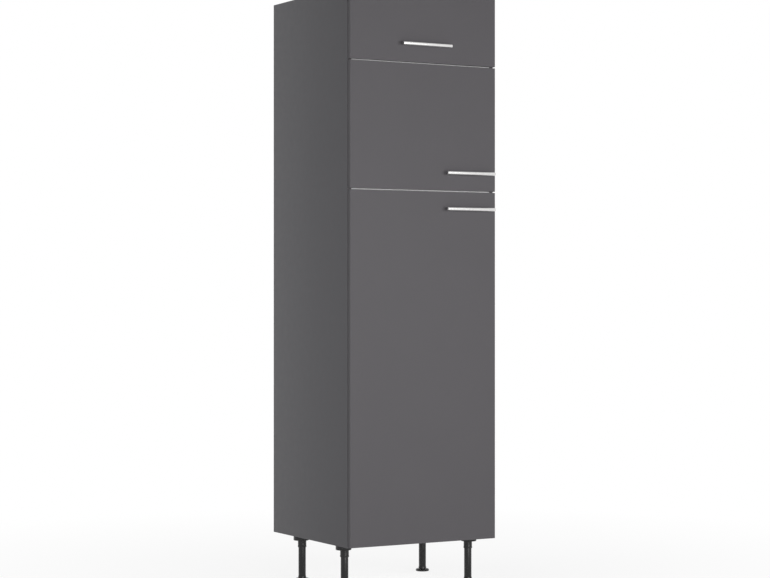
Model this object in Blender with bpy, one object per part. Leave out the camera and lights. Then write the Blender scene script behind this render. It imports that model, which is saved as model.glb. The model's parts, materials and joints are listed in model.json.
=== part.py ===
"""Tall housing unit for a built-in fridge: a carcass on four legs, two side-hung doors and a lift-up flap."""

import math

import bmesh
import bpy
from mathutils import Matrix, Vector

# Clearances and cuts, used everywhere
FIT_GAP = 0.0003
CUT_OVERRUN = 0.001
MERGE_DISTANCE = 0.000001
ROUND_SIDES = 24
SMALL_ROUND_SIDES = 16
SHARP_ANGLE = math.radians(40)
ROUND_PROFILE_SHARE = 0.5

# Carcass boards
CABINET_WIDTH = 0.600
CARCASS_DEPTH = 0.569
PANEL_THICKNESS = 0.016
NICHE_HEIGHT = 1.227
MIDDLE_SPACE_HEIGHT = 0.434
FLAP_SPACE_HEIGHT = 0.231
SHAFT_DEPTH = 0.050
BACK_THICKNESS = 0.003
GROOVE_DEPTH = 0.008
RAIL_HEIGHT = 0.100
RAIL_HEIGHT_SHARE = 0.55
INNER_WIDTH = CABINET_WIDTH - 2 * PANEL_THICKNESS
CARCASS_HEIGHT = 4 * PANEL_THICKNESS + NICHE_HEIGHT + MIDDLE_SPACE_HEIGHT + FLAP_SPACE_HEIGHT
BOARD_DEPTH = CARCASS_DEPTH - SHAFT_DEPTH
NICHE_SHELF_BOTTOM = PANEL_THICKNESS + NICHE_HEIGHT
FLAP_SHELF_BOTTOM = NICHE_SHELF_BOTTOM + PANEL_THICKNESS + MIDDLE_SPACE_HEIGHT
TOP_PANEL_BOTTOM = CARCASS_HEIGHT - PANEL_THICKNESS

# Loose shelf and its pins
LOOSE_SHELF_BACK_GAP = 0.036
LOOSE_SHELF_DEPTH = BOARD_DEPTH - LOOSE_SHELF_BACK_GAP
LOOSE_SHELF_SIDE_GAP = 0.001
LOOSE_SHELF_HEIGHT_SHARE = 0.5
PIN_ROW_SETBACK = 0.037
PIN_SHANK_RADIUS = 0.0023
PIN_SHANK_LENGTH = 0.009
PIN_PEG_RADIUS = 0.003
PIN_PEG_LENGTH = 0.0086

# Fronts
FRONT_THICKNESS = 0.016
FRONT_OFFSET = 0.002
FRONT_EDGE_ROUNDING = 0.0008
SIDE_REVEAL = 0.0015
TOP_REVEAL = 0.0015
BOTTOM_REVEAL = 0.002
SEAM = 0.004
FRONT_WIDTH = CABINET_WIDTH - 2 * SIDE_REVEAL

# Bar handles
HANDLE_LENGTH = 0.200
HANDLE_RADIUS = 0.006
HANDLE_STANDOFF = 0.026
HANDLE_END_ROUNDING = 0.0008
HANDLE_POST_INSET = 0.001
HANDLE_POST_RADIUS = HANDLE_RADIUS - HANDLE_POST_INSET
HANDLE_POST_SPACING = 0.128
HANDLE_FROM_SEAM = 0.064
HANDLE_FROM_EDGE = 0.0165

# Cup hinges, measured from the outer face inwards and from the carcass front forwards
CUP_RADIUS = 0.0175
CUP_FRONT_WALL = 0.003
CUP_DEPTH = FRONT_THICKNESS - CUP_FRONT_WALL
PIVOT_IN = 0.0074
PIVOT_ABOVE_CUP_BOTTOM = 0.0035
PIVOT_OUT = FRONT_OFFSET + CUP_DEPTH - PIVOT_ABOVE_CUP_BOTTOM
CUP_WALL = 0.0012
CUP_FLOOR = 0.0008
CUP_FROM_EDGE = 0.003
FLANGE_THICKNESS = 0.001
FLANGE_RIM = 0.0011
FLANGE_TRIM = 0.0001
WING_LENGTH = 0.0105
WING_REACH = CUP_RADIUS + WING_LENGTH
WING_WIDTH = 0.014
WING_SHIFT = 0.002
PIN_RADIUS = 0.0012
EYE_RADIUS = 0.0022
KNUCKLE_WIDTH = 0.0086
CHEEK_THICKNESS = 0.002
CHEEK_OUT = 0.0016
CHEEK_IN = 0.0024
ARM_THICKNESS = 0.0024
ARM_STRIP_WIDTH = 0.0082
ARM_BODY_WIDTH = 0.016
ARM_BODY_HEIGHT = 0.0084
ARM_BODY_START = 0.008
ARM_BODY_LENGTH = 0.054
ARM_LEG_RISE = 0.0028
ARM_ROUNDING = 0.0012
PLATE_THICKNESS = 0.004
PLATE_WIDTH = 0.013
PLATE_RIDGE_INSET = 0.001
PLATE_LENGTH = 0.044
PLATE_SETBACK = 0.037
PLATE_WING_THICKNESS = 0.0025
PLATE_WING_LENGTH = 0.056
PLATE_WING_WIDTH = 0.013
DOOR_HINGE_FROM_END = 0.100
SHORT_HINGE_FROM_END = 0.080
FLAP_HINGE_FROM_SIDE = 0.110
FLAP_OPENING = math.radians(90)

# Gas strut, in the plane beside the right side panel
STRUT_FROM_SIDE = 0.018
STRUT_FOOT_SETBACK = 0.140
STRUT_FOOT_DROP = 0.023
STRUT_HEAD_DROP = 0.045
STRUT_HEAD_STANDOFF = 0.014
SOCKET_RADIUS = 0.0065
SOCKET_WIDTH = 0.010
BALL_STUD_RADIUS = 0.003
BALL_STUD_DEPTH = 0.006
STRUT_TUBE_RADIUS = 0.0075
STRUT_TUBE_START = 0.010
STRUT_ROD_SHOWING = 0.034
STRUT_NECK_RADIUS = 0.004
STRUT_TUBE_TAPER = 0.0015
STRUT_BORE_START = 0.020
STRUT_ROD_RADIUS = 0.003
STRUT_ROD_START = 0.023
BRACKET_THICKNESS = 0.0025
BRACKET_COLLAR_RADIUS = 0.005
BRACKET_ABOVE = 0.011
BRACKET_BELOW = 0.026
BRACKET_HALF_WIDTH = 0.014
LUG_HALF_WIDTH = 0.0055
LUG_THICKNESS = 0.009
LUG_SHADOW = 0.004

# Legs
LEG_HEIGHT = 0.165
LEG_FROM_SIDE = 0.0435
FRONT_LEG_SETBACK = 0.100
BACK_LEG_FROM_REAR = 0.1455
BACK_LEG_SETBACK = CARCASS_DEPTH - BACK_LEG_FROM_REAR
FLANGE_RADIUS = 0.028
FLANGE_HEIGHT = 0.0175
FLANGE_ROUNDING = 0.0015
FLANGE_SHIFT = 0.004
COLLAR_HEIGHT = 0.043
COLLAR_TAPER_HEIGHT = 0.006
COLLAR_TAPER = 0.001
SOCKET_BORE_DEPTH = 0.029
TUBE_RADIUS = 0.0135
TUBE_WALL = 0.003
TUBE_WEB = 0.0224
COLLAR_WALL = 0.0025
COLLAR_RADIUS = TUBE_RADIUS + COLLAR_WALL
STEM_RADIUS = 0.006
STEM_LENGTH = 0.044
STEM_END_GAP = 0.004
TUBE_THREAD_DEPTH = STEM_LENGTH + STEM_END_GAP
FOOT_RADIUS = 0.025
FOOT_HEIGHT = 0.010
FOOT_RIM_TAPER = 0.003
FOOT_BASE_TAPER = 0.0015
FOOT_RING_STEP = 0.001
FOOT_RING_RADIUS = TUBE_RADIUS + FOOT_RING_STEP
FOOT_RING_HEIGHT = 0.004

# Where the carcass frame stands: its corner is the front left bottom corner of the left side panel
HANDLE_REACH = FRONT_OFFSET + FRONT_THICKNESS + HANDLE_STANDOFF + HANDLE_RADIUS
FRONT_PLANE_Y = HANDLE_REACH - (HANDLE_REACH + CARCASS_DEPTH) / 2

# Seams between the fronts, above the carcass bottom
LOWER_SEAM = NICHE_SHELF_BOTTOM + PANEL_THICKNESS / 2
UPPER_SEAM = FLAP_SHELF_BOTTOM + PANEL_THICKNESS / 2


def finish(name, colour, roughness, metallic=0.0):
    """A material with one Principled shader."""
    material = bpy.data.materials.new(name)
    material.use_nodes = True
    shader = material.node_tree.nodes["Principled BSDF"]
    shader.inputs["Base Color"].default_value = (*colour, 1.0)
    shader.inputs["Roughness"].default_value = roughness
    shader.inputs["Metallic"].default_value = metallic
    material.diffuse_color = (*colour, 1.0)
    return material


def clear_scene():
    for thing in list(bpy.data.objects):
        bpy.data.objects.remove(thing)


def group_at(name, location, parent=None):
    """An empty that carries pieces: the carcass corner, or a joint's axis."""
    empty = bpy.data.objects.new(name, None)
    empty.location = location
    empty.parent = parent
    bpy.context.scene.collection.objects.link(empty)
    return empty


def place(name, mesh, location, material, parent, rotation=(0, 0, 0)):
    """A named piece from a mesh, in its parent's frame."""
    piece = bpy.data.objects.new(name, mesh)
    piece.location = location
    piece.rotation_euler = rotation
    piece.parent = parent
    if not mesh.materials:
        mesh.materials.append(material)
    bpy.context.scene.collection.objects.link(piece)
    return piece


def mesh_from(shape, name):
    """A mesh from a bmesh, shaded smooth over its round faces."""
    bmesh.ops.recalc_face_normals(shape, faces=shape.faces)
    mesh = bpy.data.meshes.new(name)
    shape.to_mesh(mesh)
    shape.free()
    mesh.shade_smooth()
    mesh.set_sharp_from_angle(angle=SHARP_ANGLE)
    return mesh


def board_mesh(low, high, rounding=0.0, rounding_steps=1):
    """A straight board between two opposite corners, its edges rounded if a rounding is given."""
    shape = bmesh.new()
    bmesh.ops.create_cube(shape, size=1)
    size = [top - bottom for bottom, top in zip(low, high)]
    centre = [(top + bottom) / 2 for bottom, top in zip(low, high)]
    bmesh.ops.scale(shape, vec=size, verts=shape.verts)
    bmesh.ops.translate(shape, vec=centre, verts=shape.verts)
    if rounding:
        bevelled = {"offset": rounding, "segments": rounding_steps, "profile": ROUND_PROFILE_SHARE}
        bmesh.ops.bevel(shape, geom=shape.edges[:], affect="EDGES", **bevelled)
    return mesh_from(shape, "board")


def board(name, corner, size, material, parent):
    """A square-edged board whose origin is its own middle."""
    half = [length / 2 for length in size]
    mesh = board_mesh([-length for length in half], half)
    centre = [low + length for low, length in zip(corner, half)]
    return place(name, mesh, centre, material, parent)


def turned_mesh(profile, sides=ROUND_SIDES, turn=None):
    """A solid turned about its upright axis from (radius, height) points, then laid along turn, if given."""
    shape = bmesh.new()
    points = [shape.verts.new((radius, 0, height)) for radius, height in profile]
    edges = [shape.edges.new(ends) for ends in zip(points, points[1:])]
    bmesh.ops.spin(shape, geom=points + edges, axis=(0, 0, 1), cent=(0, 0, 0), angle=math.tau, steps=sides)
    bmesh.ops.remove_doubles(shape, verts=shape.verts, dist=MERGE_DISTANCE)
    if turn is not None:
        bmesh.ops.transform(shape, matrix=turn, verts=shape.verts)
    return mesh_from(shape, "turned")


def rod_mesh(start, end, radius, sides=SMALL_ROUND_SIDES, rounding=0.0):
    """A round bar between two points, its two rims rounded if a rounding is given."""
    along = Vector(end) - Vector(start)
    middle = (Vector(end) + Vector(start)) / 2
    turn = Vector((0, 0, 1)).rotation_difference(along).to_matrix().to_4x4()
    shape = bmesh.new()
    bmesh.ops.create_cone(
        shape,
        cap_ends=True,
        segments=sides,
        radius1=radius,
        radius2=radius,
        depth=along.length,
        matrix=Matrix.Translation(middle) @ turn,
    )
    if rounding:
        rims = [edge for edge in shape.edges if any(len(face.verts) == sides for face in edge.link_faces)]
        bevelled = {"offset": rounding, "segments": 1, "profile": ROUND_PROFILE_SHARE}
        bmesh.ops.bevel(shape, geom=rims, affect="EDGES", **bevelled)
    return mesh_from(shape, "rod")


def outline_mesh(outline, low, high):
    """A flat outline of (x, y) points carried from one height to another."""
    shape = bmesh.new()
    face = shape.faces.new([shape.verts.new((x, y, low)) for x, y in outline])
    grown = bmesh.ops.extrude_face_region(shape, geom=[face])["geom"]
    raised = [item for item in grown if isinstance(item, bmesh.types.BMVert)]
    bmesh.ops.translate(shape, vec=(0, 0, high - low), verts=raised)
    return mesh_from(shape, "outline")


def carved(mesh, steps):
    """The mesh after each (operation, tool mesh) step: UNION joins the tool, DIFFERENCE cuts it away."""
    blank = bpy.data.objects.new("blank", mesh)
    bpy.context.scene.collection.objects.link(blank)
    tools = []
    for operation, tool_mesh in steps:
        tool = bpy.data.objects.new("tool", tool_mesh)
        tool.display_type = "WIRE"
        tool.hide_render = True
        bpy.context.scene.collection.objects.link(tool)
        tools.append(tool)
        change = blank.modifiers.new(operation, "BOOLEAN")
        change.operation = operation
        change.solver = "EXACT"
        change.object = tool
    bpy.context.view_layer.update()
    graph = bpy.context.evaluated_depsgraph_get()
    result = bpy.data.meshes.new_from_object(blank.evaluated_get(graph))
    for thing in [blank, *tools]:
        bpy.data.objects.remove(thing)
    result.materials.clear()
    result.shade_smooth()
    result.set_sharp_from_angle(angle=SHARP_ANGLE)
    return result


def moved(mesh, offset):
    """A copy of the mesh, shifted."""
    copy = mesh.copy()
    copy.transform(Matrix.Translation(offset))
    return copy


def joined(meshes):
    """Separate tool meshes as one, so that they all cut in one step."""
    shape = bmesh.new()
    for mesh in meshes:
        shape.from_mesh(mesh)
    return mesh_from(shape, "joined")


def pin_height():
    """Height of the shelf pins' axes above the carcass bottom."""
    space_bottom = NICHE_SHELF_BOTTOM + PANEL_THICKNESS
    return space_bottom + MIDDLE_SPACE_HEIGHT * LOOSE_SHELF_HEIGHT_SHARE


def pin_setbacks():
    """The front and the back shelf pin, behind the carcass front."""
    return PIN_ROW_SETBACK, LOOSE_SHELF_DEPTH - PIN_ROW_SETBACK


def side_panel_mesh(inner_sign):
    """A side panel with its back groove and pin holes; inner_sign is +1 if its inner face is at +X."""
    half = PANEL_THICKNESS / 2
    inner = inner_sign * half
    groove_floor = inner_sign * (half - GROOVE_DEPTH)
    groove_front = BOARD_DEPTH - FIT_GAP
    groove_back = BOARD_DEPTH + BACK_THICKNESS + FIT_GAP
    outline = [
        (-inner, 0),
        (inner, 0),
        (inner, groove_front),
        (groove_floor, groove_front),
        (groove_floor, groove_back),
        (inner, groove_back),
        (inner, CARCASS_DEPTH),
        (-inner, CARCASS_DEPTH),
    ]
    hole_floor = inner_sign * (half - PIN_SHANK_LENGTH - FIT_GAP)
    hole_mouth = inner_sign * (half + CUT_OVERRUN)
    holes = [
        rod_mesh((hole_floor, y, pin_height()), (hole_mouth, y, pin_height()), PIN_SHANK_RADIUS + FIT_GAP)
        for y in pin_setbacks()
    ]
    panel = outline_mesh(outline, 0, CARCASS_HEIGHT)
    return carved(panel, [("DIFFERENCE", joined(holes))])


def build_side_panels(carcass, material):
    half = PANEL_THICKNESS / 2
    place("side_panel_left", side_panel_mesh(1), (half, 0, 0), material, carcass)
    place("side_panel_right", side_panel_mesh(-1), (CABINET_WIDTH - half, 0, 0), material, carcass)


def build_level_boards(carcass, material):
    """The four boards between the side panels, short of the wall so that air can rise behind them."""
    levels = {
        "bottom_panel": 0,
        "niche_shelf": NICHE_SHELF_BOTTOM,
        "flap_shelf": FLAP_SHELF_BOTTOM,
        "top_panel": TOP_PANEL_BOTTOM,
    }
    size = (INNER_WIDTH - 2 * FIT_GAP, BOARD_DEPTH - FIT_GAP, PANEL_THICKNESS)
    for name, level in levels.items():
        board(name, (PANEL_THICKNESS + FIT_GAP, 0, level), size, material, carcass)


def build_back_panel(carcass, material):
    """A thin panel in the side panels' grooves, behind the two upper compartments."""
    inset = PANEL_THICKNESS - GROOVE_DEPTH + FIT_GAP
    corner = (inset, BOARD_DEPTH, NICHE_SHELF_BOTTOM)
    size = (CABINET_WIDTH - 2 * inset, BACK_THICKNESS, CARCASS_HEIGHT - NICHE_SHELF_BOTTOM)
    board("back_panel", corner, size, material, carcass)


def build_rear_rail(carcass, material):
    """A rail across the open back of the fridge niche."""
    bottom = PANEL_THICKNESS + NICHE_HEIGHT * RAIL_HEIGHT_SHARE - RAIL_HEIGHT / 2
    corner = (PANEL_THICKNESS + FIT_GAP, CARCASS_DEPTH - PANEL_THICKNESS, bottom)
    size = (INNER_WIDTH - 2 * FIT_GAP, PANEL_THICKNESS, RAIL_HEIGHT)
    board("rear_rail", corner, size, material, carcass)


def build_loose_shelf(carcass, material):
    side = PANEL_THICKNESS + LOOSE_SHELF_SIDE_GAP
    corner = (side, 0, pin_height() + PIN_PEG_RADIUS + FIT_GAP)
    size = (CABINET_WIDTH - 2 * side, LOOSE_SHELF_DEPTH, PANEL_THICKNESS)
    board("loose_shelf", corner, size, material, carcass)


def build_shelf_pins(carcass, material):
    """Four pins: a thin shank in the side panel, and a thicker peg under the loose shelf."""
    peg_end = FIT_GAP + PIN_PEG_LENGTH
    profile = [
        (0, -PIN_SHANK_LENGTH),
        (PIN_SHANK_RADIUS, -PIN_SHANK_LENGTH),
        (PIN_SHANK_RADIUS, FIT_GAP),
        (PIN_PEG_RADIUS, FIT_GAP),
        (PIN_PEG_RADIUS, peg_end),
        (0, peg_end),
    ]
    mesh = turned_mesh(profile, SMALL_ROUND_SIDES)
    sides = {"left": (PANEL_THICKNESS, 1), "right": (CABINET_WIDTH - PANEL_THICKNESS, -1)}
    for side, (x, sign) in sides.items():
        for row, y in zip(("front", "back"), pin_setbacks()):
            turn = (0, sign * math.pi / 2, 0)
            place(f"shelf_pin_{row}_{side}", mesh, (x, y, pin_height()), material, carcass, turn)


def cup_centre():
    """The cup's axis, inwards from the pivot."""
    return SIDE_REVEAL + CUP_FROM_EDGE + CUP_RADIUS - PIVOT_IN


def front_back_face():
    """The front's back face, behind the pivot."""
    return PIVOT_OUT - FRONT_OFFSET


def cup_frame():
    """The cup's own upright axis, laid from front to back at the front's back face."""
    centre = Vector((cup_centre(), front_back_face(), 0))
    return Matrix.Translation(centre) @ Matrix.Rotation(-math.pi / 2, 4, "X")


def pocket_mesh():
    """The round recess that takes a hinge cup."""
    radius = CUP_RADIUS + FIT_GAP
    floor = -CUP_DEPTH - FIT_GAP
    profile = [(0, CUT_OVERRUN), (radius, CUT_OVERRUN), (radius, floor), (0, floor)]
    return turned_mesh(profile, turn=cup_frame())


def hinge_cup_mesh():
    """The cup with its flange and wings, a slot in its outer wall, and the pin between two cheeks."""
    flange_top = FIT_GAP + FLANGE_THICKNESS
    inner = CUP_RADIUS - CUP_WALL
    rim = CUP_RADIUS + FLANGE_RIM
    floor = CUP_FLOOR - CUP_DEPTH
    profile = [
        (0, -CUP_DEPTH),
        (CUP_RADIUS, -CUP_DEPTH),
        (CUP_RADIUS, FIT_GAP),
        (rim, FIT_GAP),
        (rim, flange_top),
        (inner, flange_top),
        (inner, floor),
        (0, floor),
    ]
    centre = cup_centre()
    back = front_back_face()
    outer_line = centre - CUP_RADIUS
    knuckle = KNUCKLE_WIDTH / 2
    cheek = knuckle + FIT_GAP
    cheek_end = cheek + CHEEK_THICKNESS
    wing_middle = centre + WING_SHIFT
    wing_start = CUP_RADIUS - FLANGE_RIM
    steps = []
    for side in (-1, 1):
        span = sorted((side * wing_start, side * WING_REACH))
        low = (wing_middle - WING_WIDTH / 2, back + FIT_GAP, span[0])
        high = (wing_middle + WING_WIDTH / 2, back + flange_top, span[1])
        steps.append(("UNION", board_mesh(low, high)))
        span = sorted((side * cheek, side * cheek_end))
        low = (-CHEEK_OUT, back + floor - CUP_FLOOR / 2, span[0])
        high = (CHEEK_IN, CHEEK_IN, span[1])
        steps.append(("UNION", board_mesh(low, high)))
    slot_low = (outer_line - FLANGE_RIM - CUT_OVERRUN, back + floor + FIT_GAP, -knuckle - FIT_GAP / 2)
    slot_high = (0, back + flange_top + CUT_OVERRUN, knuckle + FIT_GAP / 2)
    trim_low = (outer_line - FLANGE_RIM - CUT_OVERRUN, back + FIT_GAP / 2, -CUP_RADIUS)
    trim_high = (outer_line + FLANGE_TRIM, back + flange_top + CUT_OVERRUN, CUP_RADIUS)
    steps.append(("DIFFERENCE", board_mesh(slot_low, slot_high)))
    steps.append(("DIFFERENCE", board_mesh(trim_low, trim_high)))
    pin_end = (cheek + cheek_end) / 2
    steps.append(("UNION", rod_mesh((0, 0, -pin_end), (0, 0, pin_end), PIN_RADIUS)))
    return carved(turned_mesh(profile, turn=cup_frame()), steps)


def plate_top():
    """The mounting plate's inner face, inwards from the pivot."""
    return PANEL_THICKNESS - PIVOT_IN + FIT_GAP + PLATE_THICKNESS


def hinge_arm_mesh():
    """The arm: an eye round the pin, a neck that hooks round the panel's edge, and a body over the plate."""
    underside = plate_top() + FIT_GAP
    leg_inner = underside + ARM_LEG_RISE
    leg_outer = leg_inner - ARM_THICKNESS
    body_start = PIVOT_OUT + ARM_BODY_START
    strip_end = body_start + ARM_THICKNESS
    half = ARM_THICKNESS / 2
    outline = [
        (0, -half),
        (leg_inner, -half),
        (leg_inner, strip_end),
        (leg_outer, strip_end),
        (leg_outer, half),
        (0, half),
    ]
    strip = outline_mesh(outline, -ARM_STRIP_WIDTH / 2, ARM_STRIP_WIDTH / 2)
    knuckle = KNUCKLE_WIDTH / 2
    reach = knuckle + CUT_OVERRUN
    body_low = (underside, body_start, -ARM_BODY_WIDTH / 2)
    body_high = (underside + ARM_BODY_HEIGHT, body_start + ARM_BODY_LENGTH, ARM_BODY_WIDTH / 2)
    eye = rod_mesh((0, 0, -knuckle), (0, 0, knuckle), EYE_RADIUS)
    bore = rod_mesh((0, 0, -reach), (0, 0, reach), PIN_RADIUS + FIT_GAP)
    body = board_mesh(body_low, body_high, ARM_ROUNDING)
    return carved(strip, [("UNION", eye), ("UNION", body), ("DIFFERENCE", bore)])


def hinge_plate_mesh():
    """The cross-shaped plate that is screwed to the board, with the raised ridge that carries the arm."""
    face = PANEL_THICKNESS - PIVOT_IN + FIT_GAP
    middle = PIVOT_OUT + PLATE_SETBACK
    reach = PLATE_LENGTH / 2
    waist = PLATE_WIDTH / 2
    wing = PLATE_WING_WIDTH / 2
    tip = PLATE_WING_LENGTH / 2
    quarter = [(reach, waist), (wing, waist), (wing, tip)]
    cross = quarter + [(-along, up) for along, up in reversed(quarter)]
    cross += [(-along, -up) for along, up in cross]
    plate = outline_mesh(cross, face, face + PLATE_WING_THICKNESS)
    along_depth = Matrix(((0, 0, 1, 0), (1, 0, 0, middle), (0, 1, 0, 0), (0, 0, 0, 1)))
    plate.transform(along_depth)
    ridge_reach = reach - PLATE_RIDGE_INSET
    ridge_waist = waist - PLATE_RIDGE_INSET
    ridge_low = (face + PLATE_WING_THICKNESS / 2, middle - ridge_reach, -ridge_waist)
    ridge_high = (plate_top(), middle + ridge_reach, ridge_waist)
    return carved(plate, [("UNION", board_mesh(ridge_low, ridge_high))])


def build_hinge(prefix, number, place_on_axis, turn, carcass, axis, meshes, material):
    """One hinge: the cup moves with the front, the arm and the plate stay on the carcass."""
    cup_mesh, arm_mesh, plate_mesh = meshes
    place(f"{prefix}_hinge_cup_{number}", cup_mesh, place_on_axis, material, axis, turn)
    on_carcass = Vector(axis.location) + Vector(place_on_axis)
    place(f"{prefix}_hinge_arm_{number}", arm_mesh, on_carcass, material, carcass, turn)
    place(f"{prefix}_hinge_plate_{number}", plate_mesh, on_carcass, material, carcass, turn)


def front_mesh(low, high, pockets):
    """A front board with its cup recesses."""
    plain = board_mesh(low, high, FRONT_EDGE_ROUNDING, 2)
    return carved(plain, [("DIFFERENCE", joined(pockets))])


def handle_mesh():
    """A bar on two posts, as one welded piece; its origin is the bar's middle."""
    half = HANDLE_LENGTH / 2
    bar = rod_mesh((-half, 0, 0), (half, 0, 0), HANDLE_RADIUS, ROUND_SIDES, HANDLE_END_ROUNDING)
    posts = []
    for side in (-1, 1):
        x = side * HANDLE_POST_SPACING / 2
        posts.append(rod_mesh((x, 0, 0), (x, HANDLE_STANDOFF - FIT_GAP, 0), HANDLE_POST_RADIUS))
    return carved(bar, [("UNION", post) for post in posts])


def build_door(name, span, hinge_heights, handle_height, carcass, fittings, materials):
    """A side-hung front with its hinges and handle; its span and heights are above the carcass bottom."""
    bottom, top = span
    hinge_meshes, handle = fittings
    axis = group_at(f"{name}_axis", (PIVOT_IN, -PIVOT_OUT, bottom), carcass)
    front_face = PIVOT_OUT - FRONT_OFFSET - FRONT_THICKNESS
    low = (SIDE_REVEAL - PIVOT_IN, front_face, 0)
    high = (SIDE_REVEAL - PIVOT_IN + FRONT_WIDTH, front_back_face(), top - bottom)
    pockets = [moved(pocket_mesh(), (0, 0, height - bottom)) for height in hinge_heights]
    place(name, front_mesh(low, high, pockets), (0, 0, 0), materials["front"], axis)
    for number, height in enumerate(hinge_heights, 1):
        spot = (0, 0, height - bottom)
        build_hinge(name, number, spot, (0, 0, 0), carcass, axis, hinge_meshes, materials["hinge"])
    handle_x = high[0] - HANDLE_FROM_EDGE - HANDLE_LENGTH / 2
    spot = (handle_x, front_face - HANDLE_STANDOFF, handle_height - bottom)
    place(f"{name}_handle", handle, spot, materials["handle"], axis)


def build_flap(carcass, fittings, materials):
    """The lift-up front, hinged along its top edge, with its handle in the middle near the bottom edge."""
    hinge_meshes, handle = fittings
    axis_height = CARCASS_HEIGHT - PIVOT_IN
    axis = group_at("flap_axis", (CABINET_WIDTH / 2, -PIVOT_OUT, axis_height), carcass)
    front_face = PIVOT_OUT - FRONT_OFFSET - FRONT_THICKNESS
    low = (-FRONT_WIDTH / 2, front_face, UPPER_SEAM + SEAM / 2 - axis_height)
    high = (FRONT_WIDTH / 2, front_back_face(), PIVOT_IN - TOP_REVEAL)
    down = Matrix.Rotation(math.pi / 2, 4, "Y")
    places = [side * (CABINET_WIDTH / 2 - FLAP_HINGE_FROM_SIDE) for side in (-1, 1)]
    pockets = []
    for x in places:
        pocket = pocket_mesh()
        pocket.transform(Matrix.Translation((x, 0, 0)) @ down)
        pockets.append(pocket)
    place("flap", front_mesh(low, high, pockets), (0, 0, 0), materials["front"], axis)
    for number, x in enumerate(places, 1):
        turn = (0, math.pi / 2, 0)
        build_hinge("flap", number, (x, 0, 0), turn, carcass, axis, hinge_meshes, materials["hinge"])
    spot = (0, front_face - HANDLE_STANDOFF, UPPER_SEAM + HANDLE_FROM_SEAM - axis_height)
    place("flap_handle", handle, spot, materials["handle"], axis)
    return axis


def strut_plane():
    """The strut's own plane, from the carcass's left face."""
    return CABINET_WIDTH - PANEL_THICKNESS - STRUT_FROM_SIDE


def strut_foot():
    """(setback, height) of the pivot on the side panel, in the carcass frame."""
    return STRUT_FOOT_SETBACK, CARCASS_HEIGHT - PIVOT_IN - STRUT_FOOT_DROP


def strut_head():
    """(setback, height) of the stud on the closed flap, in the carcass frame."""
    return STRUT_HEAD_STANDOFF - FRONT_OFFSET, CARCASS_HEIGHT - PIVOT_IN - STRUT_HEAD_DROP


def strut_head_open():
    """(setback, height) of the stud once the flap has lifted."""
    setback, height = strut_head()
    behind = setback + PIVOT_OUT
    below = height - (CARCASS_HEIGHT - PIVOT_IN)
    turned_behind = behind * math.cos(FLAP_OPENING) + below * math.sin(FLAP_OPENING)
    turned_below = below * math.cos(FLAP_OPENING) - behind * math.sin(FLAP_OPENING)
    return turned_behind - PIVOT_OUT, turned_below + CARCASS_HEIGHT - PIVOT_IN


def strut_reach(head):
    """(length, slope angle) of the line from the strut's foot to its head."""
    foot = strut_foot()
    back = head[0] - foot[0]
    up = head[1] - foot[1]
    return math.hypot(back, up), math.atan2(up, back)


def socket_steps(centre, mouth_sign):
    """The ball socket at a strut end, and the bore that its stud enters from mouth_sign along X."""
    half = SOCKET_WIDTH / 2
    body = rod_mesh((-half, 0, centre), (half, 0, centre), SOCKET_RADIUS, ROUND_SIDES)
    mouth = mouth_sign * (half + CUT_OVERRUN)
    floor = mouth_sign * (half - BALL_STUD_DEPTH - FIT_GAP)
    bore = rod_mesh((floor, 0, centre), (mouth, 0, centre), BALL_STUD_RADIUS + FIT_GAP)
    return [("UNION", body), ("DIFFERENCE", bore)]


def strut_cylinder_mesh(length):
    """The tube that the rod slides in, with the socket at its foot; length is the closed strut's."""
    tube_end = length - STRUT_ROD_SHOWING
    profile = [
        (0, 0),
        (STRUT_NECK_RADIUS, 0),
        (STRUT_NECK_RADIUS, STRUT_TUBE_START),
        (STRUT_TUBE_RADIUS - STRUT_TUBE_TAPER, STRUT_TUBE_START),
        (STRUT_TUBE_RADIUS, STRUT_TUBE_START + STRUT_TUBE_TAPER),
        (STRUT_TUBE_RADIUS, tube_end - STRUT_TUBE_TAPER),
        (STRUT_TUBE_RADIUS - STRUT_TUBE_TAPER, tube_end),
        (STRUT_ROD_RADIUS + FIT_GAP, tube_end),
        (STRUT_ROD_RADIUS + FIT_GAP, STRUT_BORE_START),
        (0, STRUT_BORE_START),
    ]
    return carved(turned_mesh(profile), socket_steps(0, 1))


def strut_rod_mesh(length):
    """The rod, with the socket at its head."""
    rod = rod_mesh((0, 0, STRUT_ROD_START), (0, 0, length), STRUT_ROD_RADIUS)
    return carved(rod, socket_steps(length, -1))


def side_bracket_mesh():
    """A plate on the right side panel with the stud for the strut's foot; X runs from the strut's plane."""
    panel = STRUT_FROM_SIDE - FIT_GAP
    plate_low = (panel - BRACKET_THICKNESS, -BRACKET_HALF_WIDTH, -BRACKET_BELOW)
    plate_high = (panel, BRACKET_HALF_WIDTH, BRACKET_ABOVE)
    face = SOCKET_WIDTH / 2
    overlap = panel - BRACKET_THICKNESS / 2
    collar = rod_mesh((face + FIT_GAP, 0, 0), (overlap, 0, 0), BRACKET_COLLAR_RADIUS)
    stud = rod_mesh((face - BALL_STUD_DEPTH, 0, 0), (overlap, 0, 0), BALL_STUD_RADIUS)
    return carved(board_mesh(plate_low, plate_high), [("UNION", collar), ("UNION", stud)])


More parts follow.
